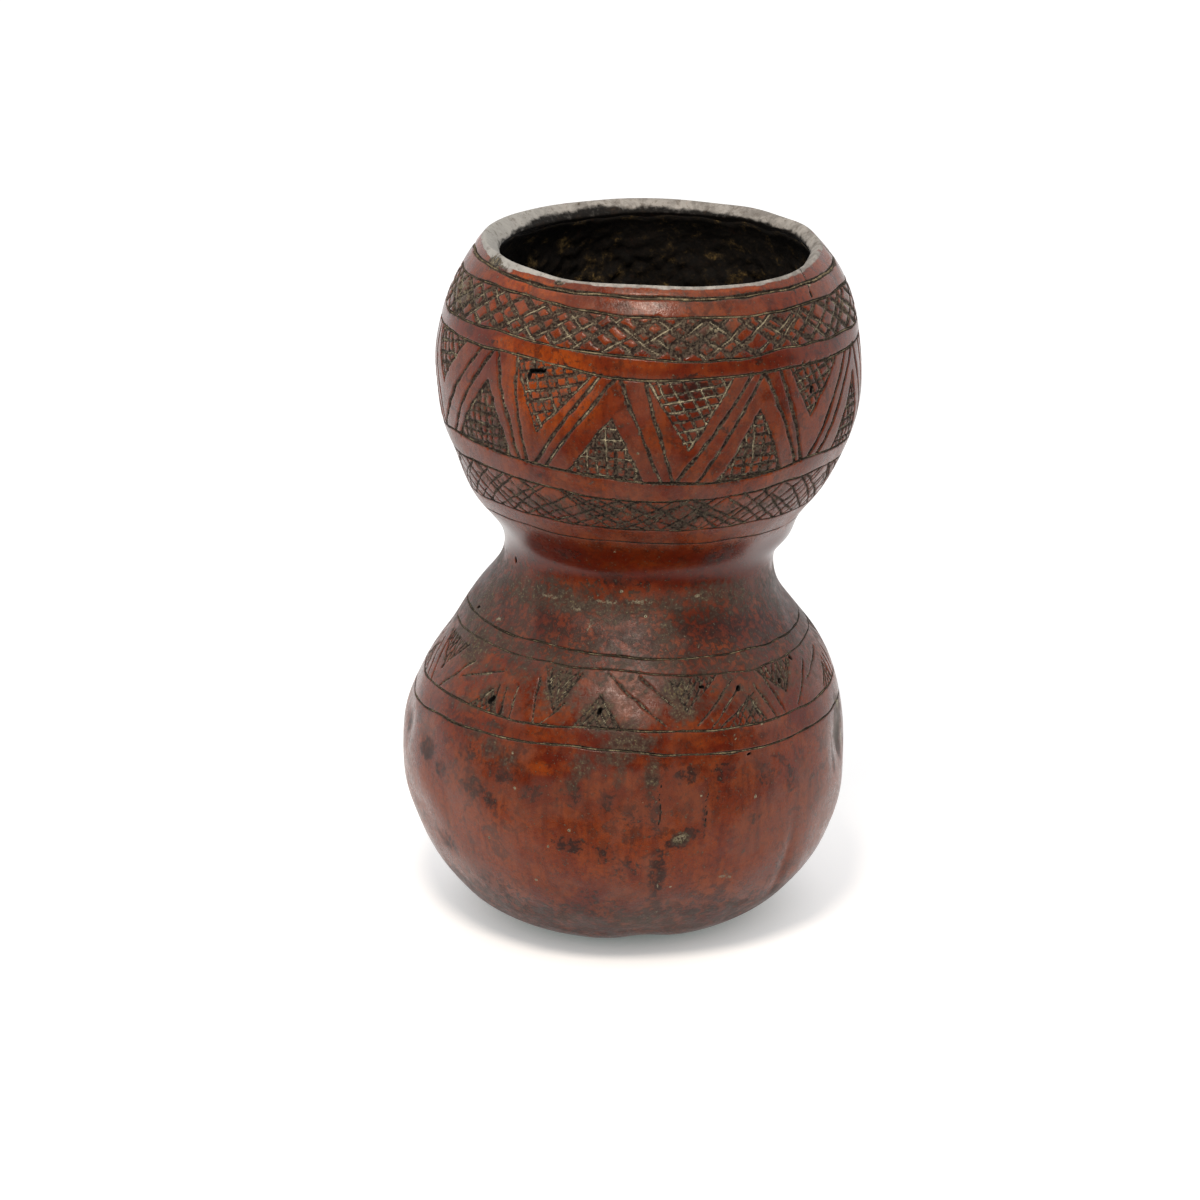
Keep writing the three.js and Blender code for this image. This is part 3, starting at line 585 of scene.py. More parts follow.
def unevenness(angle, distance):
    """How far the wall lies below a true round one: slow swells, and this gourd's dents and furrows."""
    radius, height, _, _ = along_wall(distance)
    turn = np.radians(angle)
    generator = np.random.default_rng(SEED)
    low = swells(radius * np.sin(turn), -radius * np.cos(turn), height, GROWTH_SWELLS, generator)
    low = low * smooth(height, 0, EVEN_FOOT)
    for middle, up, half_width, half_height, depth in DENTS:
        across = from_angle(angle, middle) * degree_length(distance)
        away = (across / half_width) ** 2 + ((distance - up) / half_height) ** 2
        low = low + depth * np.exp(-DENT_STEEPNESS * away)
    return low


def round_smooth(values, softness):
    """Softens values that close on themselves, over a number of steps."""
    reach = int(3 * softness)
    window = np.exp(-0.5 * (np.arange(-reach, reach + 1) / softness) ** 2)
    return np.convolve(np.pad(values, reach, mode="wrap"), window / window.sum(), "valid")


def round_play(count, softness):
    """Slowly changing random numbers, about 1 high, that close on themselves."""
    values = round_smooth(random.normal(size=count), softness)
    return values / values.std()


def course_round(points):
    """Values at even angles that pass softly through a few points of (angle, value)."""
    angles, values = np.transpose(points)
    course = np.interp(even_angles(RING_STEPS), angles, values, period=360)
    return round_smooth(course, STRAY_SOFTNESS * RING_STEPS / 360)


def at_angle(course, angle):
    """The value at an angle of a course that is given at even angles."""
    return np.interp(angle, even_angles(len(course)), course, period=360)


lip_course = course_round(LIP_COURSE)


def surface(angle, distance, depth, rise=0):
    """Points of the wall at a depth below its outer face, and a rise further along it."""
    near_lip = smooth(distance, lip_distance - LIP_REACH_FROM, lip_distance)
    distance = distance + at_angle(lip_course, angle) * near_lip
    radius, height, along_r, along_z = along_wall(distance)
    rise = rise + np.maximum(distance - lip_distance, 0)
    radius = radius - depth * along_z + rise * along_r
    height = height + depth * along_r + rise * along_z
    turn = np.radians(angle)
    return lean(radius * np.sin(turn), -radius * np.cos(turn), height)


def disc(radii, turn, height):
    """Rows of points round a level face."""
    return lean(radii * np.sin(turn), -radii * np.cos(turn), height + 0 * radii * turn)


# Hand-drawn lines

def soft_random(count, softness):
    """Slowly changing random numbers, about 1 high."""
    window = np.hanning(softness + 2)[1:-1]
    window /= np.linalg.norm(window)
    return np.convolve(random.normal(size=count + softness - 1), window, "valid")


def ring_distances():
    """The ring lines' distances along the wall."""
    places = {}
    for distance, way, lines in ((belly_distance, 1, RINGS_UP_FROM_BELLY),
                                 (lip_distance, -1, RINGS_DOWN_FROM_LIP)):
        for name, line in lines.items():
            distance += way * line.step
            places[name] = distance
    return places


def ring_course(name, distance):
    """A ring line's distance along the wall at even angles from 0, with its stray and tremble."""
    unseen = tuple((angle, random.uniform(-UNSEEN_STRAY, UNSEEN_STRAY)) for angle in UNSEEN_ANGLES)
    tremble = LINE_TREMBLE * round_play(RING_STEPS, TREMBLE_SOFTNESS)
    return distance + course_round(RINGS[name].stray + unseen) + tremble


ring_places = ring_distances()
ring_courses = {name: ring_course(name, distance) for name, distance in ring_places.items()}


def ring(name, angle):
    """A ring line's distance along the wall at an angle."""
    return at_angle(ring_courses[name], angle)


def drawn(path):
    """A path of (angle, distance) points, drawn in short steps with the tremble of a hand."""
    path = np.array(path, float)
    scale = np.array([degree_length(path[:, 1].mean()), 1])
    legs = np.hypot(*(np.diff(path, axis=0) * scale).T)
    reached = np.concatenate([[0], np.cumsum(legs)])
    count = max(3, int(reached[-1] / STROKE_STEP) + 1)
    at = np.linspace(0, reached[-1], count)
    points = np.stack([np.interp(at, reached, path[:, i]) for i in range(2)], axis=1)
    tremble = np.stack([soft_random(count, STROKE_SOFTNESS) for _ in range(2)], axis=1)
    return points + STROKE_TREMBLE * tremble / scale


def shell_rows():
    """Mean distances of the outer wall's rows: close where it is carved, further apart where it is plain."""
    rows = [0]
    while rows[-1] < lip_distance - FINE_STEP:
        step = COARSE_STEP
        if any(low <= rows[-1] <= high for low, high in FINE_ZONES):
            step = FINE_STEP
        if any(abs(rows[-1] - place) < RING_ROW_REACH for place in ring_places.values()):
            step = RING_ROW_STEP
        rows.append(rows[-1] + step)
    rows[-1] = lip_distance
    return np.array(rows)


def along_rings(rows, angles):
    """Distances of the rows round the jug: they stray as the ring lines above and below them do."""
    names = sorted(ring_places, key=ring_places.get)
    places = np.array([0, *(ring_places[name] for name in names), lip_distance])
    still = np.zeros(len(angles))
    strays = np.array([still, *(ring(name, angles) - ring_places[name] for name in names), still])
    above = np.searchsorted(places, rows).clip(1, len(places) - 1)
    share = ((rows - places[above - 1]) / (places[above] - places[above - 1]))[:, None]
    return rows[:, None] + strays[above - 1] * (1 - share) + strays[above] * share


class Surface:
    """What the knife, insects and use have done to the outer wall, with some light and shade painted in, over
    a grid of rows and columns.
    """

    LAYERS = ("cut", "dirt", "pale", "grime", "stain", "warm_and_lit", "worn_and_lit", "soot_and_shade", "polish")

    def __init__(self):
        self.rows = shell_rows()
        self.angles = even_angles(COLUMNS)
        self.distances = along_rings(self.rows, self.angles)
        self.layers = {layer: np.zeros(self.distances.shape) for layer in self.LAYERS}

    def window(self, low_angle, high_angle, low, high, reach):
        """The part of the grid round a patch: its index, and places across and up from the patch's corner."""
        middle = round((low_angle + high_angle) / 2 * COLUMNS / 360) % COLUMNS
        ends = (low - reach - ROW_MARGIN, high + reach + ROW_MARGIN)
        first, last = np.searchsorted(self.distances[:, middle], ends)
        rows = np.arange(first, max(last, first + 1)).clip(0, len(self.rows) - 1)
        scale = degree_length(self.rows[rows[len(rows) // 2]])
        start = math.floor((low_angle - reach / scale) * COLUMNS / 360)
        stop = math.ceil((high_angle + reach / scale) * COLUMNS / 360)
        columns = np.arange(start, stop + 1)
        across = (columns * 360 / COLUMNS - low_angle) * scale
        index = np.ix_(rows, columns % COLUMNS)
        return index, across[None], self.distances[index] - low, scale

    def raise_to(self, layer, index, values):
        grid = self.layers[layer]
        grid[index] = np.maximum(grid[index], values)

    def segment(self, start, end, cut):
        """One short straight piece of a knife line."""
        low_angle, high_angle = sorted((start[0], end[0]))
        low, high = sorted((start[1], end[1]))
        reach = max(cut.dirt_reach, cut.round_reach) * cut.width / 2
        index, across, up, scale = self.window(low_angle, high_angle, low, high, reach)
        across = across - (start[0] - low_angle) * scale
        up = up - (start[1] - low)
        run = ((end[0] - start[0]) * scale, end[1] - start[1])
        share = np.clip((across * run[0] + up * run[1]) / (run[0] ** 2 + run[1] ** 2), 0, 1)
        away = np.hypot(across - share * run[0], up - share * run[1]) / (cut.width / 2)

        def fade(core, reach):
            return 1 - smooth(away, core, reach)

        groove = KNIFE_SHARE * np.clip(1 - away ** 2, 0, 1) + (1 - KNIFE_SHARE) * fade(0, cut.round_reach)
        self.raise_to("cut", index, cut.depth * groove)
        self.raise_to("dirt", index, fade(DIRT_CORE, cut.dirt_reach))
        self.raise_to("pale", index, cut.pale * fade(PALE_CORE * cut.pale_reach, cut.pale_reach))
        soot_core = SOOT_CORE * cut.dirt_reach - SOOT_EDGE
        self.raise_to("soot_and_shade", index, cut.black * fade(soot_core, cut.dirt_reach))

    def stroke(self, path, cut, softness=PRESSURE_SOFTNESS):
        """A knife line along points that are already drawn, with a hand's changes of pressure."""
        count = len(path)
        pressure = np.clip(1 + cut.play * soft_random(count, softness), *PRESSURE_LIMITS)
        matter = np.clip(cut.pale + MATTER_PLAY * soft_random(count, softness), 0, 1)
        for i in range(count - 1):
            here = cut._replace(width=cut.width * pressure[i], depth=cut.depth * pressure[i], pale=matter[i])
            self.segment(path[i], path[i + 1], here)

    def spot(self, layer, angle, distance, half_width, half_height, strength, core=PATCH_CORE):
        """A soft round patch in one layer."""
        reach = max(half_width, half_height)
        index, across, up, _ = self.window(angle, angle, distance, distance, reach)
        away = np.hypot(across / half_width, up / half_height)
        self.raise_to(layer, index, strength * (1 - smooth(away, core, 1)))

    def fill_triangle(self, layer, corners, strength):
        """An even patch in one layer over a triangle of (angle, distance) corners."""
        corners = np.array(corners, float)
        low_angle, low = corners.min(axis=0)
        high_angle, high = corners.max(axis=0)
        index, across, up, scale = self.window(low_angle, high_angle, low, high, 1)
        flat = (corners - (low_angle, low)) * (scale, 1)
        middle = flat.mean(axis=0)
        inside = np.full(np.broadcast(across, up).shape, np.inf)
        for i in range(3):
            run = flat[(i + 1) % 3] - flat[i]
            inward = np.array([-run[1], run[0]]) / np.hypot(*run)
            inward *= np.sign(inward @ (middle - flat[i]))
            inside = np.minimum(inside, (across - flat[i][0]) * inward[0] + (up - flat[i][1]) * inward[1])
        self.raise_to(layer, index, strength * smooth(inside, *TRIANGLE_FADE))

    def fill_band(self, layer, bottom, top, strength):
        """A patch in one layer between two ring lines, with a strength for each column."""
        above = self.distances - ring(bottom, self.angles)
        below = ring(top, self.angles) - self.distances
        self.raise_to(layer, ..., strength * smooth(np.minimum(above, below), *BAND_FADE))

    def ring_round(self, layer, distance, half_height, strength):
        """A soft patch in one layer all the way round."""
        away = np.abs(self.rows - distance) / half_height
        self.raise_to(layer, ..., strength * (1 - smooth(away, BAND_CORE, 1))[:, None])


# Ornament

def ring_depth(width):
    return min(RING_DEPTH_MOST, RING_DEPTH_SHARE * width)


def carve_rings(skin):
    angles = np.append(even_angles(RING_STEPS), 360)
    for name, course in ring_courses.items():
        path = np.stack([angles, np.append(course, course[0])], axis=1)
        line = RINGS[name]
        cut = RING_CUT._replace(width=line.width, depth=ring_depth(line.width), black=line.black)
        skin.stroke(path, cut, RING_PRESSURE_SOFTNESS)


def carve_lattice(skin, place, lattice):
    """Crossing slanted lines between two ring lines."""
    bottom = place + "_lattice_bottom"
    top = place + "_lattice_top"
    away = np.abs(from_angle(skin.angles, lattice.dirt_angle))
    more = 1 - smooth(away, LATTICE_DIRT_CORE * lattice.dirt_half, lattice.dirt_half)
    skin.fill_band("dirt", bottom, top, lattice.dirt + lattice.more_dirt * more)
    count = round(360 / lattice.spacing)
    end_gap = lattice.cut.width / 2 - LATTICE_OVERLAP
    for way in (1, -1):
        for i in range(count):
            foot = i * 360 / count + random.normal(0, LATTICE_PLAY * lattice.spacing)
            span = random.uniform(lattice.span - lattice.span_play, lattice.span + lattice.span_play)
            head = foot + way * span
            low = ring(bottom, foot) + end_gap + random.uniform(-LATTICE_END_PLAY, LATTICE_END_PLAY)
            high = ring(top, head) - end_gap - random.uniform(-LATTICE_END_PLAY, LATTICE_END_PLAY)
            skin.stroke(drawn([(foot, low), (head, high)]), lattice.cut)


def hatch_lines(triangle, slant_degrees, spacing):
    """Lines at a slant across a triangle of (angle, distance) corners. The spacing is in millimetres."""
    corners = np.array(triangle, float)
    scale = (degree_length(corners[:, 1].mean()), 1)
    flat = corners * scale
    slant = math.radians(slant_degrees)
    height = flat @ (-math.sin(slant), math.cos(slant))
    level = height.min() + spacing * random.uniform(*HATCH_START)
    while level < height.max() - HATCH_END * spacing:
        ends = []
        for i in range(3):
            j = (i + 1) % 3
            if (height[i] - level) * (height[j] - level) < 0:
                share = (level - height[i]) / (height[j] - height[i])
                ends.append((flat[i] + share * (flat[j] - flat[i])) / scale)
        if len(ends) == 2:
            yield ends
        level += spacing * random.uniform(*HATCH_STEP)


def carve_triangle(skin, triangle, slants, spacing, cut):
    """A triangle filled with two ways of hatching, and its two free sides."""
    for slant in slants:
        for ends in hatch_lines(triangle, slant, spacing):
            skin.stroke(drawn(ends), cut)
    for corner in triangle[:2]:
        skin.stroke(drawn([corner, triangle[2]]), cut)


def side_slant(corner, tip):
    """The slant in degrees of a triangle's side."""
    across = (tip[0] - corner[0]) * degree_length((corner[1] + tip[1]) / 2)
    return math.degrees(math.atan2(tip[1] - corner[1], across))


def carve_zigzag(skin):
    def place(line, angle, rise=0):
        return (angle, ring(line, angle) + rise)

    for i, middle in enumerate(ZIGZAG_MIDDLES):
        repeat = ZIGZAG[i % len(ZIGZAG)]
        for above, below in repeat["lines"]:
            ends = [place("zigzag_top", middle + above), place("zigzag_bottom", middle + below)]
            skin.stroke(drawn(ends), ZIGZAG_CUT)
        (hanging_dirt, hanging_pale), (standing_dirt, standing_pale) = repeat["soil"]

        left, right, tip, drop = repeat["down"]
        hanging = (place("zigzag_top", middle + left), place("zigzag_top", middle + right),
                   place("zigzag_top", middle + tip, -drop))
        skin.fill_triangle("dirt", hanging, hanging_dirt)
        slants = (side_slant(hanging[0], hanging[2]), random.uniform(*HANGING_SLANT))
        carve_triangle(skin, hanging, slants, ZIGZAG_HATCH_SPACING, HATCH_CUT._replace(pale=hanging_pale))

        tip, left, right, rise = repeat["up"]
        standing = (place("zigzag_bottom", middle + left), place("zigzag_bottom", middle + right),
                    place("zigzag_bottom", middle + tip, rise))
        skin.fill_triangle("dirt", standing, standing_dirt)
        slants = tuple(random.uniform(*limits) for limits in STANDING_SLANTS)
        carve_triangle(skin, standing, slants, ZIGZAG_HATCH_SPACING, HATCH_CUT._replace(pale=standing_pale))


def carve_shoulder(skin):
    for turn in (0, SHOULDER_TURN, -SHOULDER_TURN):
        for path in SHOULDER_LINES:
            skin.stroke(drawn([(angle + turn, up) for angle, up in path]), SHOULDER_CUT)
        for corners in SHOULDER_TRIANGLES:
            corners = tuple((angle + turn, up) for angle, up in corners)
            slants = tuple(random.uniform(*limits) for limits in SHOULDER_SLANTS)
            carve_triangle(skin, corners, slants, SHOULDER_HATCH_SPACING, SHOULDER_HATCH_CUT)


def bore_holes(skin):
    for angle, distance, width, length, slant in HOLES:
        half = (length - width) / 2
        across = half * math.cos(math.radians(slant)) / degree_length(distance)
        up = half * math.sin(math.radians(slant))
        ends = ((angle - across, distance - up), (angle + across, distance + up))
        skin.segment(*ends, HOLE_CUT._replace(width=width))
    # Pits: a ring of painted highlight round a spot of painted shade
    for angle, distance in PITS:
        radius = PIT_RADIUS * random.uniform(*PIT_PLAY)
        hole = PIT_HOLE_SHARE * radius
        skin.spot("pale", angle, distance, radius, radius, PIT_STRENGTH, core=PIT_CORE)
        skin.spot("soot_and_shade", angle, distance, hole, hole, PIT_STRENGTH, core=PIT_CORE)


# Patches of wear and dirt with painted light, highlights and reflections among them, then cracks and the
# lip's worn edge
def wear_and_painted_light(skin):
    for layer, patches in PATCHES.items():
        for turn in UNSEEN_TURNS:
            for angle, distance, half_width, half_height, strength in patches:
                turned = from_angle(angle + turn, 0)
                if turn == 0 or abs(turned) > SEEN_ANGLE:
                    skin.spot(layer, turned, distance, half_width, half_height, strength)
    for layer, bands in PATCH_BANDS.items():
        for distance, half_height, strength in bands:
            skin.ring_round(layer, distance, half_height, strength)
    for path in CRACKS:
        skin.stroke(drawn(path), CRACK_CUT)
    angles, widths = np.transpose(WORN_EDGE)
    edge = np.interp(skin.angles, angles, widths, period=360)
    edge += WORN_EDGE_PLAY * round_play(COLUMNS, WORN_EDGE_SOFTNESS)
    below_edge = lip_distance - edge - skin.distances
    skin.raise_to("worn_and_lit", ..., 1 - smooth(below_edge, *WORN_EDGE_FADE))


# Meshes

def piece_of(name, mesh, material, slot, *nodes):
    """An object of a mesh that stands for CAD nodes and has a finish. The slot is not used."""
    mesh.materials.append(material)
    piece = bpy.data.objects.new(name, mesh)
    bpy.context.scene.collection.objects.link(piece)
    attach(piece, "root")
    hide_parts(*nodes)


def faces_of(*corners):
    """Faces by their corners: each gives point numbers, and places across and up in the map."""
    values = np.broadcast_arrays(*(value for corner in corners for value in corner))
    return np.stack(values, axis=-1).reshape(-1, len(corners), 3)


def grid_mesh(name, grid, row_places, poles=()):
    """A mesh over rows of points that close round the jug.

    The rows end on two poles, or close on themselves where there are none. row_places are the rows' heights
    in the surface map, OFBake.
    """
    rows, columns, _ = grid.shape
    points = np.concatenate([grid.reshape(-1, 3), np.reshape(poles, (-1, 3))])
    gaps = rows - 1 if len(poles) else rows
    here = np.arange(gaps)[:, None] * columns
    above = (np.arange(gaps)[:, None] + 1) % rows * columns
    column = np.arange(columns)[None]
    beside = (column + 1) % columns
    left, middle, right = column / columns, (column + 0.5) / columns, (column + 1) / columns
    low = row_places[:gaps, None]
    high = row_places[1:gaps + 1, None]
    faces = [faces_of((here + column, left, low), (here + beside, right, low),
                      (above + beside, right, high), (above + column, left, high))]
    if len(poles):
        pole = rows * columns
        first, last = row_places[0], row_places[-1]
        top = pole - columns
        faces.append(faces_of((pole, middle, 0), (beside, right, first), (column, left, first)))
        faces.append(faces_of((top + column, left, last), (top + beside, right, last), (pole + 1, middle, 1)))
    corners = np.concatenate([part.reshape(-1, 3) for part in faces])
    sizes = np.concatenate([np.full(len(part), part.shape[1]) for part in faces])
    mesh = bpy.data.meshes.new(name)
    mesh.vertices.add(len(points))
    mesh.vertices.foreach_set("co", (points * METRES).astype(np.float32).ravel())
    mesh.loops.add(len(corners))
    mesh.loops.foreach_set("vertex_index", corners[:, 0].astype(np.int32))
    mesh.polygons.add(len(sizes))
    mesh.polygons.foreach_set("loop_start", (np.cumsum(sizes) - sizes).astype(np.int32))
    mesh.polygons.foreach_set("use_smooth", np.ones(len(sizes), dtype=bool))
    mesh.update(calc_edges=True)
    bake_map = mesh.uv_layers.new(name="OFBake")
    bake_map.uv.foreach_set("vector", corners[:, 1:].astype(np.float32).ravel())
    return mesh


def even_shares(parts):
    """Shares from 0 to 1 for the rows of each part."""
    return [np.linspace(0, 1, len(part)) for part in parts]


def map_places(shares, spans):
    """The rows' heights in the map: each part's shares over its span."""
    return np.concatenate([low + (high - low) * share for share, (low, high) in zip(shares, spans)])


def set_layer(mesh, name, values):
    layer = mesh.attributes.new(name, "FLOAT", "POINT")
    layer.data.foreach_set("value", np.asarray(values, dtype=np.float32).ravel())


def wall_depth(angle, distance):
    """The rind's thickness: even below, and thicker at the lip's left than at its right."""
    near_lip = smooth(distance, lip_distance - LIP_WALL_FROM, lip_distance)
    lip_wall = LIP_WALL * (1 - LIP_SKEW * np.sin(np.radians(angle)))
    return WALL + (lip_wall - WALL) * near_lip


def shell_mesh(skin):
    angles = skin.angles[None]
    turn = np.radians(angles)
    depth = unevenness(angles, skin.distances) + skin.layers["cut"]
    outer = surface(angles, skin.distances, depth)

    radii = np.linspace(POLE_RADIUS, BASE_RADIUS - FOOT_STOP, FOOT_ROWS)[:, None]
    foot = disc(radii, turn, FOOT_HOLLOW * (1 - smooth(radii, *FOOT_HOLLOW_SPAN)))

    bend = np.linspace(0, math.pi, LIP_ROWS + 2)[1:-1, None]
    across = np.sign(np.cos(bend)) * np.abs(np.cos(bend)) ** LIP_BOXINESS
    rim = (np.sin(turn) * LIP_RADIUS, np.cos(turn) * LIP_RADIUS)
    bulge = (LIP_ROUND + swells(*rim, 0, LIP_CHIPS, random)) * np.sin(bend) ** LIP_BOXINESS
    at_lip = np.full((1, 1), lip_distance)
    depth = unevenness(angles, at_lip) + wall_depth(angles, at_lip) / 2 * (1 - across)
    lip = surface(angles, at_lip, depth, bulge)

    inside = np.linspace(lip_distance, 0, int(lip_distance / INSIDE_STEP))[:, None]
    inner = surface(angles, inside, unevenness(angles, inside) + wall_depth(angles, inside))
    radii = np.linspace(BASE_RADIUS - FLOOR_STOP, POLE_RADIUS, FLOOR_ROWS)[:, None]
    floor = disc(radii, turn, WALL)

    parts = (foot, outer, lip, inner, floor)
    shares = even_shares(parts)
    shares[1] = skin.rows / lip_distance
    poles = ((0, 0, FOOT_HOLLOW), (0, 0, WALL))
    mesh = grid_mesh("gourd_rind", np.concatenate(parts), map_places(shares, RIND_MAP), poles)

    inward = (1 - across) / 2 + swells(*rim, LIP_PATTERN_DEPTH * bend, LIP_RAGGEDNESS, random)
    from_left = np.cos(turn - math.radians(LIP_SOOT_LEFT_DEGREES))
    earlier = LIP_SOOT_AT_BACK * smooth(-np.cos(turn), *LIP_SOOT_BACK_SPAN)
    earlier = earlier + LIP_SOOT_AT_LEFT * smooth(from_left, *LIP_SOOT_LEFT_SPAN)
    clean = np.zeros((LIP_ROWS, 1))
    on_lip = {"worn_and_lit": smooth(inward, *LIP_WORN_SPAN), "soot_and_shade": smooth(inward + earlier, *LIP_SOOT_SPAN)}
    for layer in Surface.LAYERS[1:]:
        values = skin.layers[layer]
        hidden = 1 if layer == "soot_and_shade" else 0
        rows = np.concatenate([
            np.zeros((len(foot), COLUMNS)), values, np.maximum(values[-1:], on_lip.get(layer, clean)),
            np.full((len(inner) + len(floor), COLUMNS), hidden),
        ])
        set_layer(mesh, layer, np.append(rows.ravel(), (0, hidden)))
    return mesh


def lump(angle, distance):
    """How far a lump of the crust stands out."""
    height = 0
    for count, length in LUMP_SWELLS:
        wave = np.sin(np.radians(count * angle) + 2 * math.pi * distance / length)
        height = height + LUMP / len(LUMP_SWELLS) * wave
    return height


def lining_mesh():
    """The crust of dried pulp: smooth against the rind, lumpy inside, with a ragged top edge."""
    angles = even_angles(LINING_COLUMNS)[None]
    turn = np.radians(angles)
    edge = swells(np.sin(turn) * LIP_RADIUS, np.cos(turn) * LIP_RADIUS, 0, LINING_EDGE, random)
    share = np.linspace(0, 1, LINING_ROWS)[:, None]
    distance = share * (lip_distance - LINING_TOP_DROP + edge)
    depth = unevenness(angles, distance) + wall_depth(angles, distance) + LINING_CLEARANCE
    back = surface(angles, distance, depth)
    radius, height, _, _ = along_wall(distance)
    crumbs = swells(radius * np.sin(turn), radius * np.cos(turn), height, CRUMBS, random)
    thick = np.maximum(LINING + lump(angles, distance) + crumbs, LEAST_CRUST)
    thick = thick * (1 - LINING_THINNING * smooth(share, LINING_THINS_FROM, 1))
    face = surface(angles, distance, depth + thick)[::-1]
    radii = np.linspace(POLE_RADIUS, BASE_RADIUS - LINING_FLOOR_STOP, LINING_FLOOR_ROWS)[:, None]
    level = WALL + LINING_CLEARANCE
    parts = (disc(radii, turn, level), back, face, disc(radii[::-1], turn, level + LINING))
    poles = ((0, 0, level), (0, 0, level + LINING))
    return grid_mesh("pulp_crust", np.concatenate(parts), map_places(even_shares(parts), LINING_MAP), poles)


def fill_mesh(name):
    """The pale matter in a ring line: a crumbly strip that fills the cut more in some places than others."""
    angles = even_angles(FILL_STEPS)
    width = RINGS[name].width
    fullness = np.full(FILL_STEPS, RINGS[name].fullness)
    for softness, height in FILL_PLAY:
        fullness += height * round_play(FILL_STEPS, softness)
    fullness = np.clip(fullness, LEAST_FULLNESS, 1)
    half = FILL_WIDTH_SHARE * width / 2 * (FILL_LEAST_WIDTH + (1 - FILL_LEAST_WIDTH) * fullness)
    course = ring(name, angles) + FILL_ASIDE * width * round_play(FILL_STEPS, FILL_ASIDE_SOFTNESS)
    floor = FILL_FLOOR_SHARE * ring_depth(width)
    top = FILL_SINK + (floor - FILL_SINK) * FILL_HOLLOW * (1 - fullness)
    rows = []
    for aside, sunk in FILL_SECTION:
        distance = course + aside * half
        depth = top + sunk * (floor - top) + unevenness(angles, distance)
        rows.append(surface(angles, distance, depth))
    return grid_mesh(name + "_matter", np.array(rows), np.linspace(0, 1, len(rows) + 1))


# Materials

def colour(value):
    """A colour by its name, as linear values by the screens' usual curve. Other values stay as they are."""
    if value not in COLOURS:
        return value
    parts = [int(COLOURS[value][i:i + 2], 16) / 255 for i in (0, 2, 4)]
    return [*(part / 12.92 if part <= 0.04045 else ((part + 0.055) / 1.055) ** 2.4 for part in parts), 1]


class Nodes:
    """A node tree, with short names for the nodes that finishes and surroundings need."""

    def __init__(self, tree):
        self.tree = tree

    def feed(self, socket, value):
        if isinstance(value, bpy.types.NodeSocket):
            self.tree.links.new(value, socket)
        else:
            socket.default_value = value

    def node(self, kind, output, inputs=None, **settings):
        """An output of a new node, with its settings and what feeds its inputs."""
        node = self.tree.nodes.new("ShaderNode" + kind)
        for name, value in settings.items():
            setattr(node, name, value)
        for socket, value in (inputs or {}).items():
            self.feed(node.inputs[socket], value)
        return node.outputs[output]

    def maths(self, operation, first, second):
        return self.node("Math", "Value", {0: first, 1: second}, operation=operation)

    def times(self, first, second):
        return self.maths("MULTIPLY", first, second)

    def step(self, value, low, high, start=0, end=1):
        """A soft step from start to end as a value goes from low to high."""
        inputs = {"Value": value, "From Min": low, "From Max": high, "To Min": start, "To Max": end}
        return self.node("MapRange", "Result", inputs, interpolation_type="SMOOTHSTEP")

    def mix(self, share, first, second):
        """A colour between two others."""
        inputs = {"Factor": share, 6: colour(first), 7: colour(second)}
        return self.node("Mix", 2, inputs, data_type="RGBA")

    def blend(self, share, first, second):
        """A number between two others."""
        return self.node("Mix", 0, {"Factor": share, 2: first, 3: second})

    def along(self, place, axis):
        """How far along an axis a place is."""
        return self.node("SeparateXYZ", axis, {"Vector": place})


class Finish(Nodes):
    """A material of one piece, painted in coats."""

    def __init__(self, name):
        self.material = bpy.data.materials.new(name)
        self.material.use_nodes = True
        super().__init__(self.material.node_tree)
        self.shader = self.tree.nodes["Principled BSDF"]
        self.shader.inputs["Specular IOR Level"].default_value = SPECULAR
        self.place = self.node("TexCoord", "Object")

    def noise(self, name):
        """A cloudy pattern by its name."""
        pattern = PATTERNS[name]
        place = self.node("Mapping", "Vector", {"Scale": pattern.closeness, "Vector": self.place})
        inputs = {"Vector": place, "Scale": 1 / (pattern.size * METRES), "Detail": pattern.detail,
                  "Roughness": pattern.roughness, "Distortion": pattern.distortion}
        return self.node("TexNoise", "Fac", inputs)

    def layer(self, name):
        """A layer of the mesh's own values."""
        return self.node("Attribute", "Fac", attribute_name=name)

    def broken(self, layer, pattern, spread, low, high):
        """A layer as a mask whose edge follows a pattern."""
        shift = self.times(self.maths("SUBTRACT", pattern, 0.5), spread)
        return self.step(self.maths("ADD", self.layer(layer), shift), low, high)

    def coat(self, share, paint):
        """Paints a share of a colour over what is there."""
        self.paint = self.mix(share, self.paint, paint)

    def relief(self, height, depth, strength=1):
        """Bump of a depth in millimetres."""
        inputs = {"Strength": strength, "Distance": depth * METRES, "Height": height}
        self.feed(self.shader.inputs["Normal"], self.node("Bump", "Normal", inputs))

    def finish(self, roughness):
        self.feed(self.shader.inputs["Base Color"], self.paint)
        self.feed(self.shader.inputs["Roughness"], roughness)
        return self.material


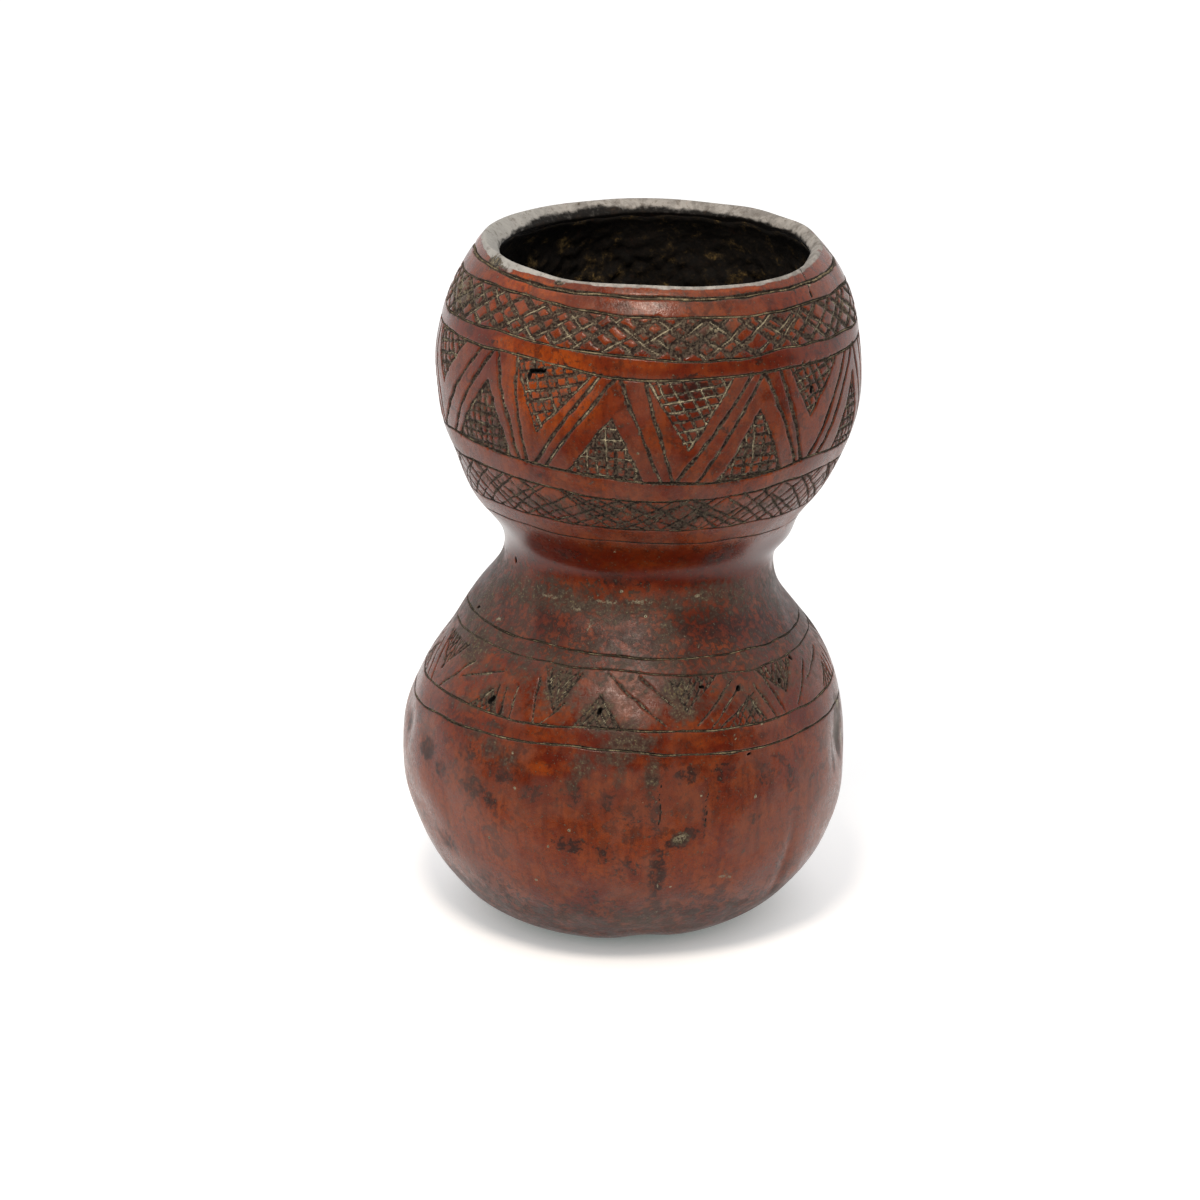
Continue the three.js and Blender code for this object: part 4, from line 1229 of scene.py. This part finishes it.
def rind_material():
    rind = Finish("polished_rind")
    rind.shader.inputs["Sheen Weight"].default_value = DUST
    rind.shader.inputs["Sheen Roughness"].default_value = DUST_ROUGHNESS
    broad = rind.noise("broad")
    haze = rind.noise("haze")
    cloud = rind.noise("cloud")
    mottle = rind.noise("mottle")
    speckle = rind.noise("speckle")
    crumbs = rind.noise("crumbs")
    grain = rind.noise("grain")
    streak = rind.noise("streak")
    rough_edge = rind.blend(0.5, mottle, crumbs)
    fine_edge = rind.blend(0.45, crumbs, grain)

    # Skin, from its deep red to the bruises and specks in it
    rind.paint = rind.mix(rind.step(broad, 0.36, 0.64), "dark skin", "skin")
    rind.coat(rind.step(cloud, 0.42, 0.62, 0, 0.7), "light skin")
    rind.coat(rind.step(streak, 0.47, 0.66, 0, 0.45), "dark streak")
    rind.coat(rind.times(rind.layer("polish"), 0.75), "polished skin")
    # The thinner skin's orange, with painted light on the upper bulb's left and a painted highlight on the
    # lip's front edge
    warm_and_lit = rind.mix(rind.step(streak, 0.42, 0.64), "orange skin and light", "orange streak and light")
    rind.coat(rind.broken("warm_and_lit", mottle, 1.3, 0.25, 0.85), warm_and_lit)
    rind.coat(rind.times(rind.step(mottle, 0.5, 0.6), rind.step(broad, 0.4, 0.6, 0.2, 0.65)), "bruise")
    halo = rind.broken("stain", mottle, 1.4, 0.2, 1.1)
    rind.coat(rind.times(halo, 0.5), "stain's edge")
    stain = rind.broken("stain", rind.blend(0.4, speckle, crumbs), 4.4, 0.5, 0.8)
    rind.coat(rind.times(stain, 0.78), "stain")
    rind.coat(rind.step(crumbs, 0.5, 0.64, 0, 0.42), "dark crumbs")
    rind.coat(rind.step(grain, 0.6, 0.72, 0, 0.24), "light grain")
    unpolished = rind.step(rind.layer("polish"), 0, 0.7, 1, 0)
    rind.coat(rind.times(rind.step(haze, 0.42, 0.6, 0, 0.26), unpolished), "haze")

    # Grime: a thin film, and thicker soil in it
    film = rind.broken("grime", speckle, 1.9, 0.1, 0.85)
    rind.coat(rind.times(film, 0.82), rind.mix(rind.step(crumbs, 0.36, 0.64), "dark film", "film"))
    grime = rind.broken("grime", fine_edge, 3, 0.78, 1.25)
    soil = rind.mix(rind.step(crumbs, 0.4, 0.58), "dark soil", "soil")
    soil = rind.mix(rind.step(grain, 0.56, 0.7, 0, 0.65), soil, "light soil")
    rind.coat(rind.times(grime, 0.85), soil)

    # Bare rind, lightest on the left of the cut lip, and a painted highlight line along the lip's crest
    worn_and_lit = rind.broken("worn_and_lit", rough_edge, 2.4, 0.2, 0.85)
    bare = rind.mix(rind.step(mottle, 0.38, 0.62), "bare rind", "grey rind")
    left = rind.step(rind.along(rind.place, "X"), LIGHT_LIP_FULL, LIGHT_LIP_END, LIGHT_LIP_SHARE, 0)
    above = rind.step(rind.along(rind.place, "Z"), LIGHT_LIP_FROM, LIGHT_LIP_ABOVE)
    bare = rind.mix(rind.times(left, above), bare, "light rind")
    rind.coat(worn_and_lit, rind.mix(rind.step(speckle, 0.5, 0.66, 0, 0.55), bare, "rind's specks"))

    # What lies in the cuts, and the painted light and shade that share its coats
    dirt = rind.broken("dirt", rough_edge, 3.2, 0.32, 0.68)
    rind.coat(rind.times(dirt, 0.92), rind.mix(rind.step(fine_edge, 0.42, 0.58), "black dirt", "dirt"))
    # Pale matter in the cuts, with the pits' painted highlights and the painted reflections on the lattice's
    # sides
    pale = rind.broken("pale", fine_edge, 3.2, 0.35, 0.75)
    rind.coat(pale, rind.mix(rind.step(grain, 0.4, 0.6), "pale matter and painted light", "dull matter"))
    # Soot in the lines and at the lip, and painted shade in the holes and in the pits' middles
    soot_and_shade = rind.broken("soot_and_shade", rough_edge, 1.5, 0.25, 1)
    rind.coat(soot_and_shade, rind.mix(rind.step(mottle, 0.5, 0.66), "soot_and_shade", "brown_black_and_shade"))

    # Dull where it is dirty or worn, glossy where it is rubbed
    dull = rind.maths("MAXIMUM", rind.maths("MAXIMUM", dirt, grime), rind.maths("MAXIMUM", worn_and_lit, soot_and_shade))
    dull = rind.maths("MAXIMUM", dull, rind.times(rind.maths("MAXIMUM", film, halo), 0.55))
    skin = rind.step(rind.maths("ADD", cloud, rind.times(crumbs, 0.6)), 0.6, 1, *SKIN_ROUGHNESS)
    roughness = rind.blend(rind.layer("polish"), skin, RUBBED_ROUGHNESS)
    skin_height = rind.blend(0.35, rind.times(cloud, 0.6), rind.times(grain, 0.5))
    height = rind.maths("ADD", rind.times(crumbs, rind.step(dull, 0, 1, 0.3, 0.9)), skin_height)
    height = rind.times(height, rind.step(rind.layer("polish"), 0, 1, 1, 0.25))
    rind.relief(height, RIND_RELIEF, RIND_RELIEF_STRENGTH)
    return rind.finish(rind.blend(dull, roughness, DULL_ROUGHNESS))


def pulp_material():
    pulp = Finish("dried_pulp")
    flakes = pulp.noise("flakes")
    crumbs = pulp.noise("pulp crumbs")
    deep = pulp.step(pulp.along(pulp.place, "Z"), FLECKS_FROM, FLECKS_FULL)
    pulp.paint = pulp.mix(pulp.step(crumbs, 0.4, 0.7), "black crust", "crust")
    pulp.coat(pulp.times(pulp.step(flakes, 0.52, 0.64), pulp.blend(deep, 0.35, 1)), "brown flakes")
    pulp.coat(pulp.times(pulp.step(flakes, 0.6, 0.7), pulp.blend(deep, 0.3, 0.9)), "light flakes")
    pulp.coat(pulp.step(flakes, 0.3, 0.42, 0.6, 0), "red crust")
    pulp.relief(crumbs, PULP_RELIEF)
    return pulp.finish(pulp.step(crumbs, 0.3, 0.7, *PULP_ROUGHNESS))


def filling_material():
    filling = Finish("pale_filling")
    lumps = filling.noise("lumps")
    dust = filling.noise("dust")
    filling.paint = filling.mix(filling.step(lumps, 0.46, 0.6), "dark filling", "filling")
    filling.coat(filling.step(dust, 0.4, 0.75, 0, 0.35), "filling's dust")
    filling.relief(filling.maths("ADD", lumps, dust), FILLING_RELIEF)
    return filling.finish(filling.step(dust, 0.3, 0.7, *FILLING_ROUGHNESS))


# The object

def make_jug():
    skin = Surface()
    carve_rings(skin)
    for place, lattice in LATTICES.items():
        carve_lattice(skin, place, lattice)
    carve_zigzag(skin)
    carve_shoulder(skin)
    bore_holes(skin)
    wear_and_painted_light(skin)
    piece_of("gourd_rind", shell_mesh(skin), rind_material(), "rind", "gourd_shell")
    piece_of("pulp_crust", lining_mesh(), pulp_material(), "pulp", "pulp_lining")
    filling = filling_material()
    for name in ring_courses:
        piece_of(name + "_matter", fill_mesh(name), filling, "filling", name + "_fill")


# Floor, light and camera

def point_at(thing, target):
    way = np.array(target) - np.array(thing.location)
    tilt = math.atan2(math.hypot(way[0], way[1]), -way[2])
    thing.rotation_euler = (tilt, 0, math.atan2(way[0], -way[1]) + math.pi)


def seen_directly(nodes):
    """1 for what the camera sees, directly or in a reflection, and 0 for what only lights the object."""
    share = nodes.node("LightPath", "Is Camera Ray")
    for ray in ("Is Glossy Ray", "Is Transmission Ray"):
        share = nodes.maths("MAXIMUM", share, nodes.node("LightPath", ray))
    return share


def open_front(nodes, place, edge, full):
    """How much of the tent's open, dark front a reflection of a place or direction shows, from 0 to 1."""
    front = nodes.step(nodes.along(place, "Y"), -edge, -full)
    return nodes.times(front, nodes.node("LightPath", "Is Glossy Ray"))


def make_floor():
    mesh = bpy.data.meshes.new("floor")
    half = FLOOR_SIZE / 2
    corners = [(-half, -half, 0), (half, -half, 0), (half, half, 0), (-half, half, 0)]
    mesh.from_pydata(corners, [], [(0, 1, 2, 3)])
    material = bpy.data.materials.new("pale_floor")
    material.use_nodes = True
    nodes = Nodes(material.node_tree)
    nodes.tree.nodes.remove(nodes.tree.nodes["Principled BSDF"])
    place = nodes.node("TexCoord", "Object")
    shade = open_front(nodes, place, OPEN_FRONT_NEAR, OPEN_FRONT_FAR)
    paint = nodes.node("BsdfDiffuse", "BSDF", {"Color": nodes.mix(shade, FLOOR_COLOUR, FLOOR_SHADE)})
    away = nodes.node("VectorMath", "Value", {0: place}, operation="LENGTH")
    # The glow is dimmer near the jug, a painted shadow round its foot
    glow_colour = nodes.mix(nodes.step(away, GLOW_NEAR, GLOW_FAR), FLOOR_GLOW_NEAR, FLOOR_GLOW_FAR)
    strength = nodes.maths("SUBTRACT", seen_directly(nodes), shade)
    glow = nodes.node("Emission", "Emission", {"Color": glow_colour, "Strength": strength})
    both = nodes.node("AddShader", "Shader", {0: paint, 1: glow})
    nodes.feed(nodes.tree.nodes["Material Output"].inputs["Surface"], both)
    mesh.materials.append(material)
    floor = bpy.data.objects.new("floor", mesh)
    bpy.context.scene.collection.objects.link(floor)


def make_world():
    world = bpy.data.worlds.new("white_tent")
    world.use_nodes = True
    nodes = Nodes(world.node_tree)
    shade = open_front(nodes, nodes.node("TexCoord", "Generated"), OPEN_FRONT_EDGE, OPEN_FRONT_FULL)
    level = nodes.node("MapRange", "Result", {"Value": shade, "To Min": 1, "To Max": OPEN_FRONT})
    ambient = nodes.tree.nodes["Background"]
    ambient.inputs["Color"].default_value = WHITE
    ambient.inputs["Strength"].default_value = AMBIENT
    white = nodes.node("Background", "Background", {"Color": WHITE, "Strength": level})
    inputs = {"Fac": seen_directly(nodes), 1: ambient.outputs["Background"], 2: white}
    both = nodes.node("MixShader", "Shader", inputs)
    nodes.feed(nodes.tree.nodes["World Output"].inputs["Surface"], both)
    bpy.context.scene.world = world


def make_lamp():
    light = bpy.data.lights.new("key", "AREA")
    light.color = LAMP_TINT
    light.shape = "DISK"
    light.size = LAMP_SIZE
    light.energy = LAMP_POWER
    lamp = bpy.data.objects.new("key", light)
    lamp.location = LAMP_PLACE
    bpy.context.scene.collection.objects.link(lamp)
    point_at(lamp, LAMP_TARGET)


def make_camera():
    camera = bpy.data.cameras.new("camera")
    camera.sensor_width = SENSOR
    camera.lens = SENSOR * CAMERA_FOCAL_PIXELS / PHOTO_PIXELS
    eye = bpy.data.objects.new("camera", camera)
    elevation = math.radians(CAMERA_ELEVATION_DEGREES)
    aim = np.array(CAMERA_AIM)
    back = np.array([0, -math.cos(elevation), math.sin(elevation)])
    eye.location = (aim + CAMERA_DISTANCE * back) * METRES
    bpy.context.scene.collection.objects.link(eye)
    point_at(eye, aim * METRES)
    bpy.context.scene.camera = eye


make_camera()
make_jug()
make_floor()
make_world()
make_lamp()
bpy.context.scene.view_settings.view_transform = "Standard"
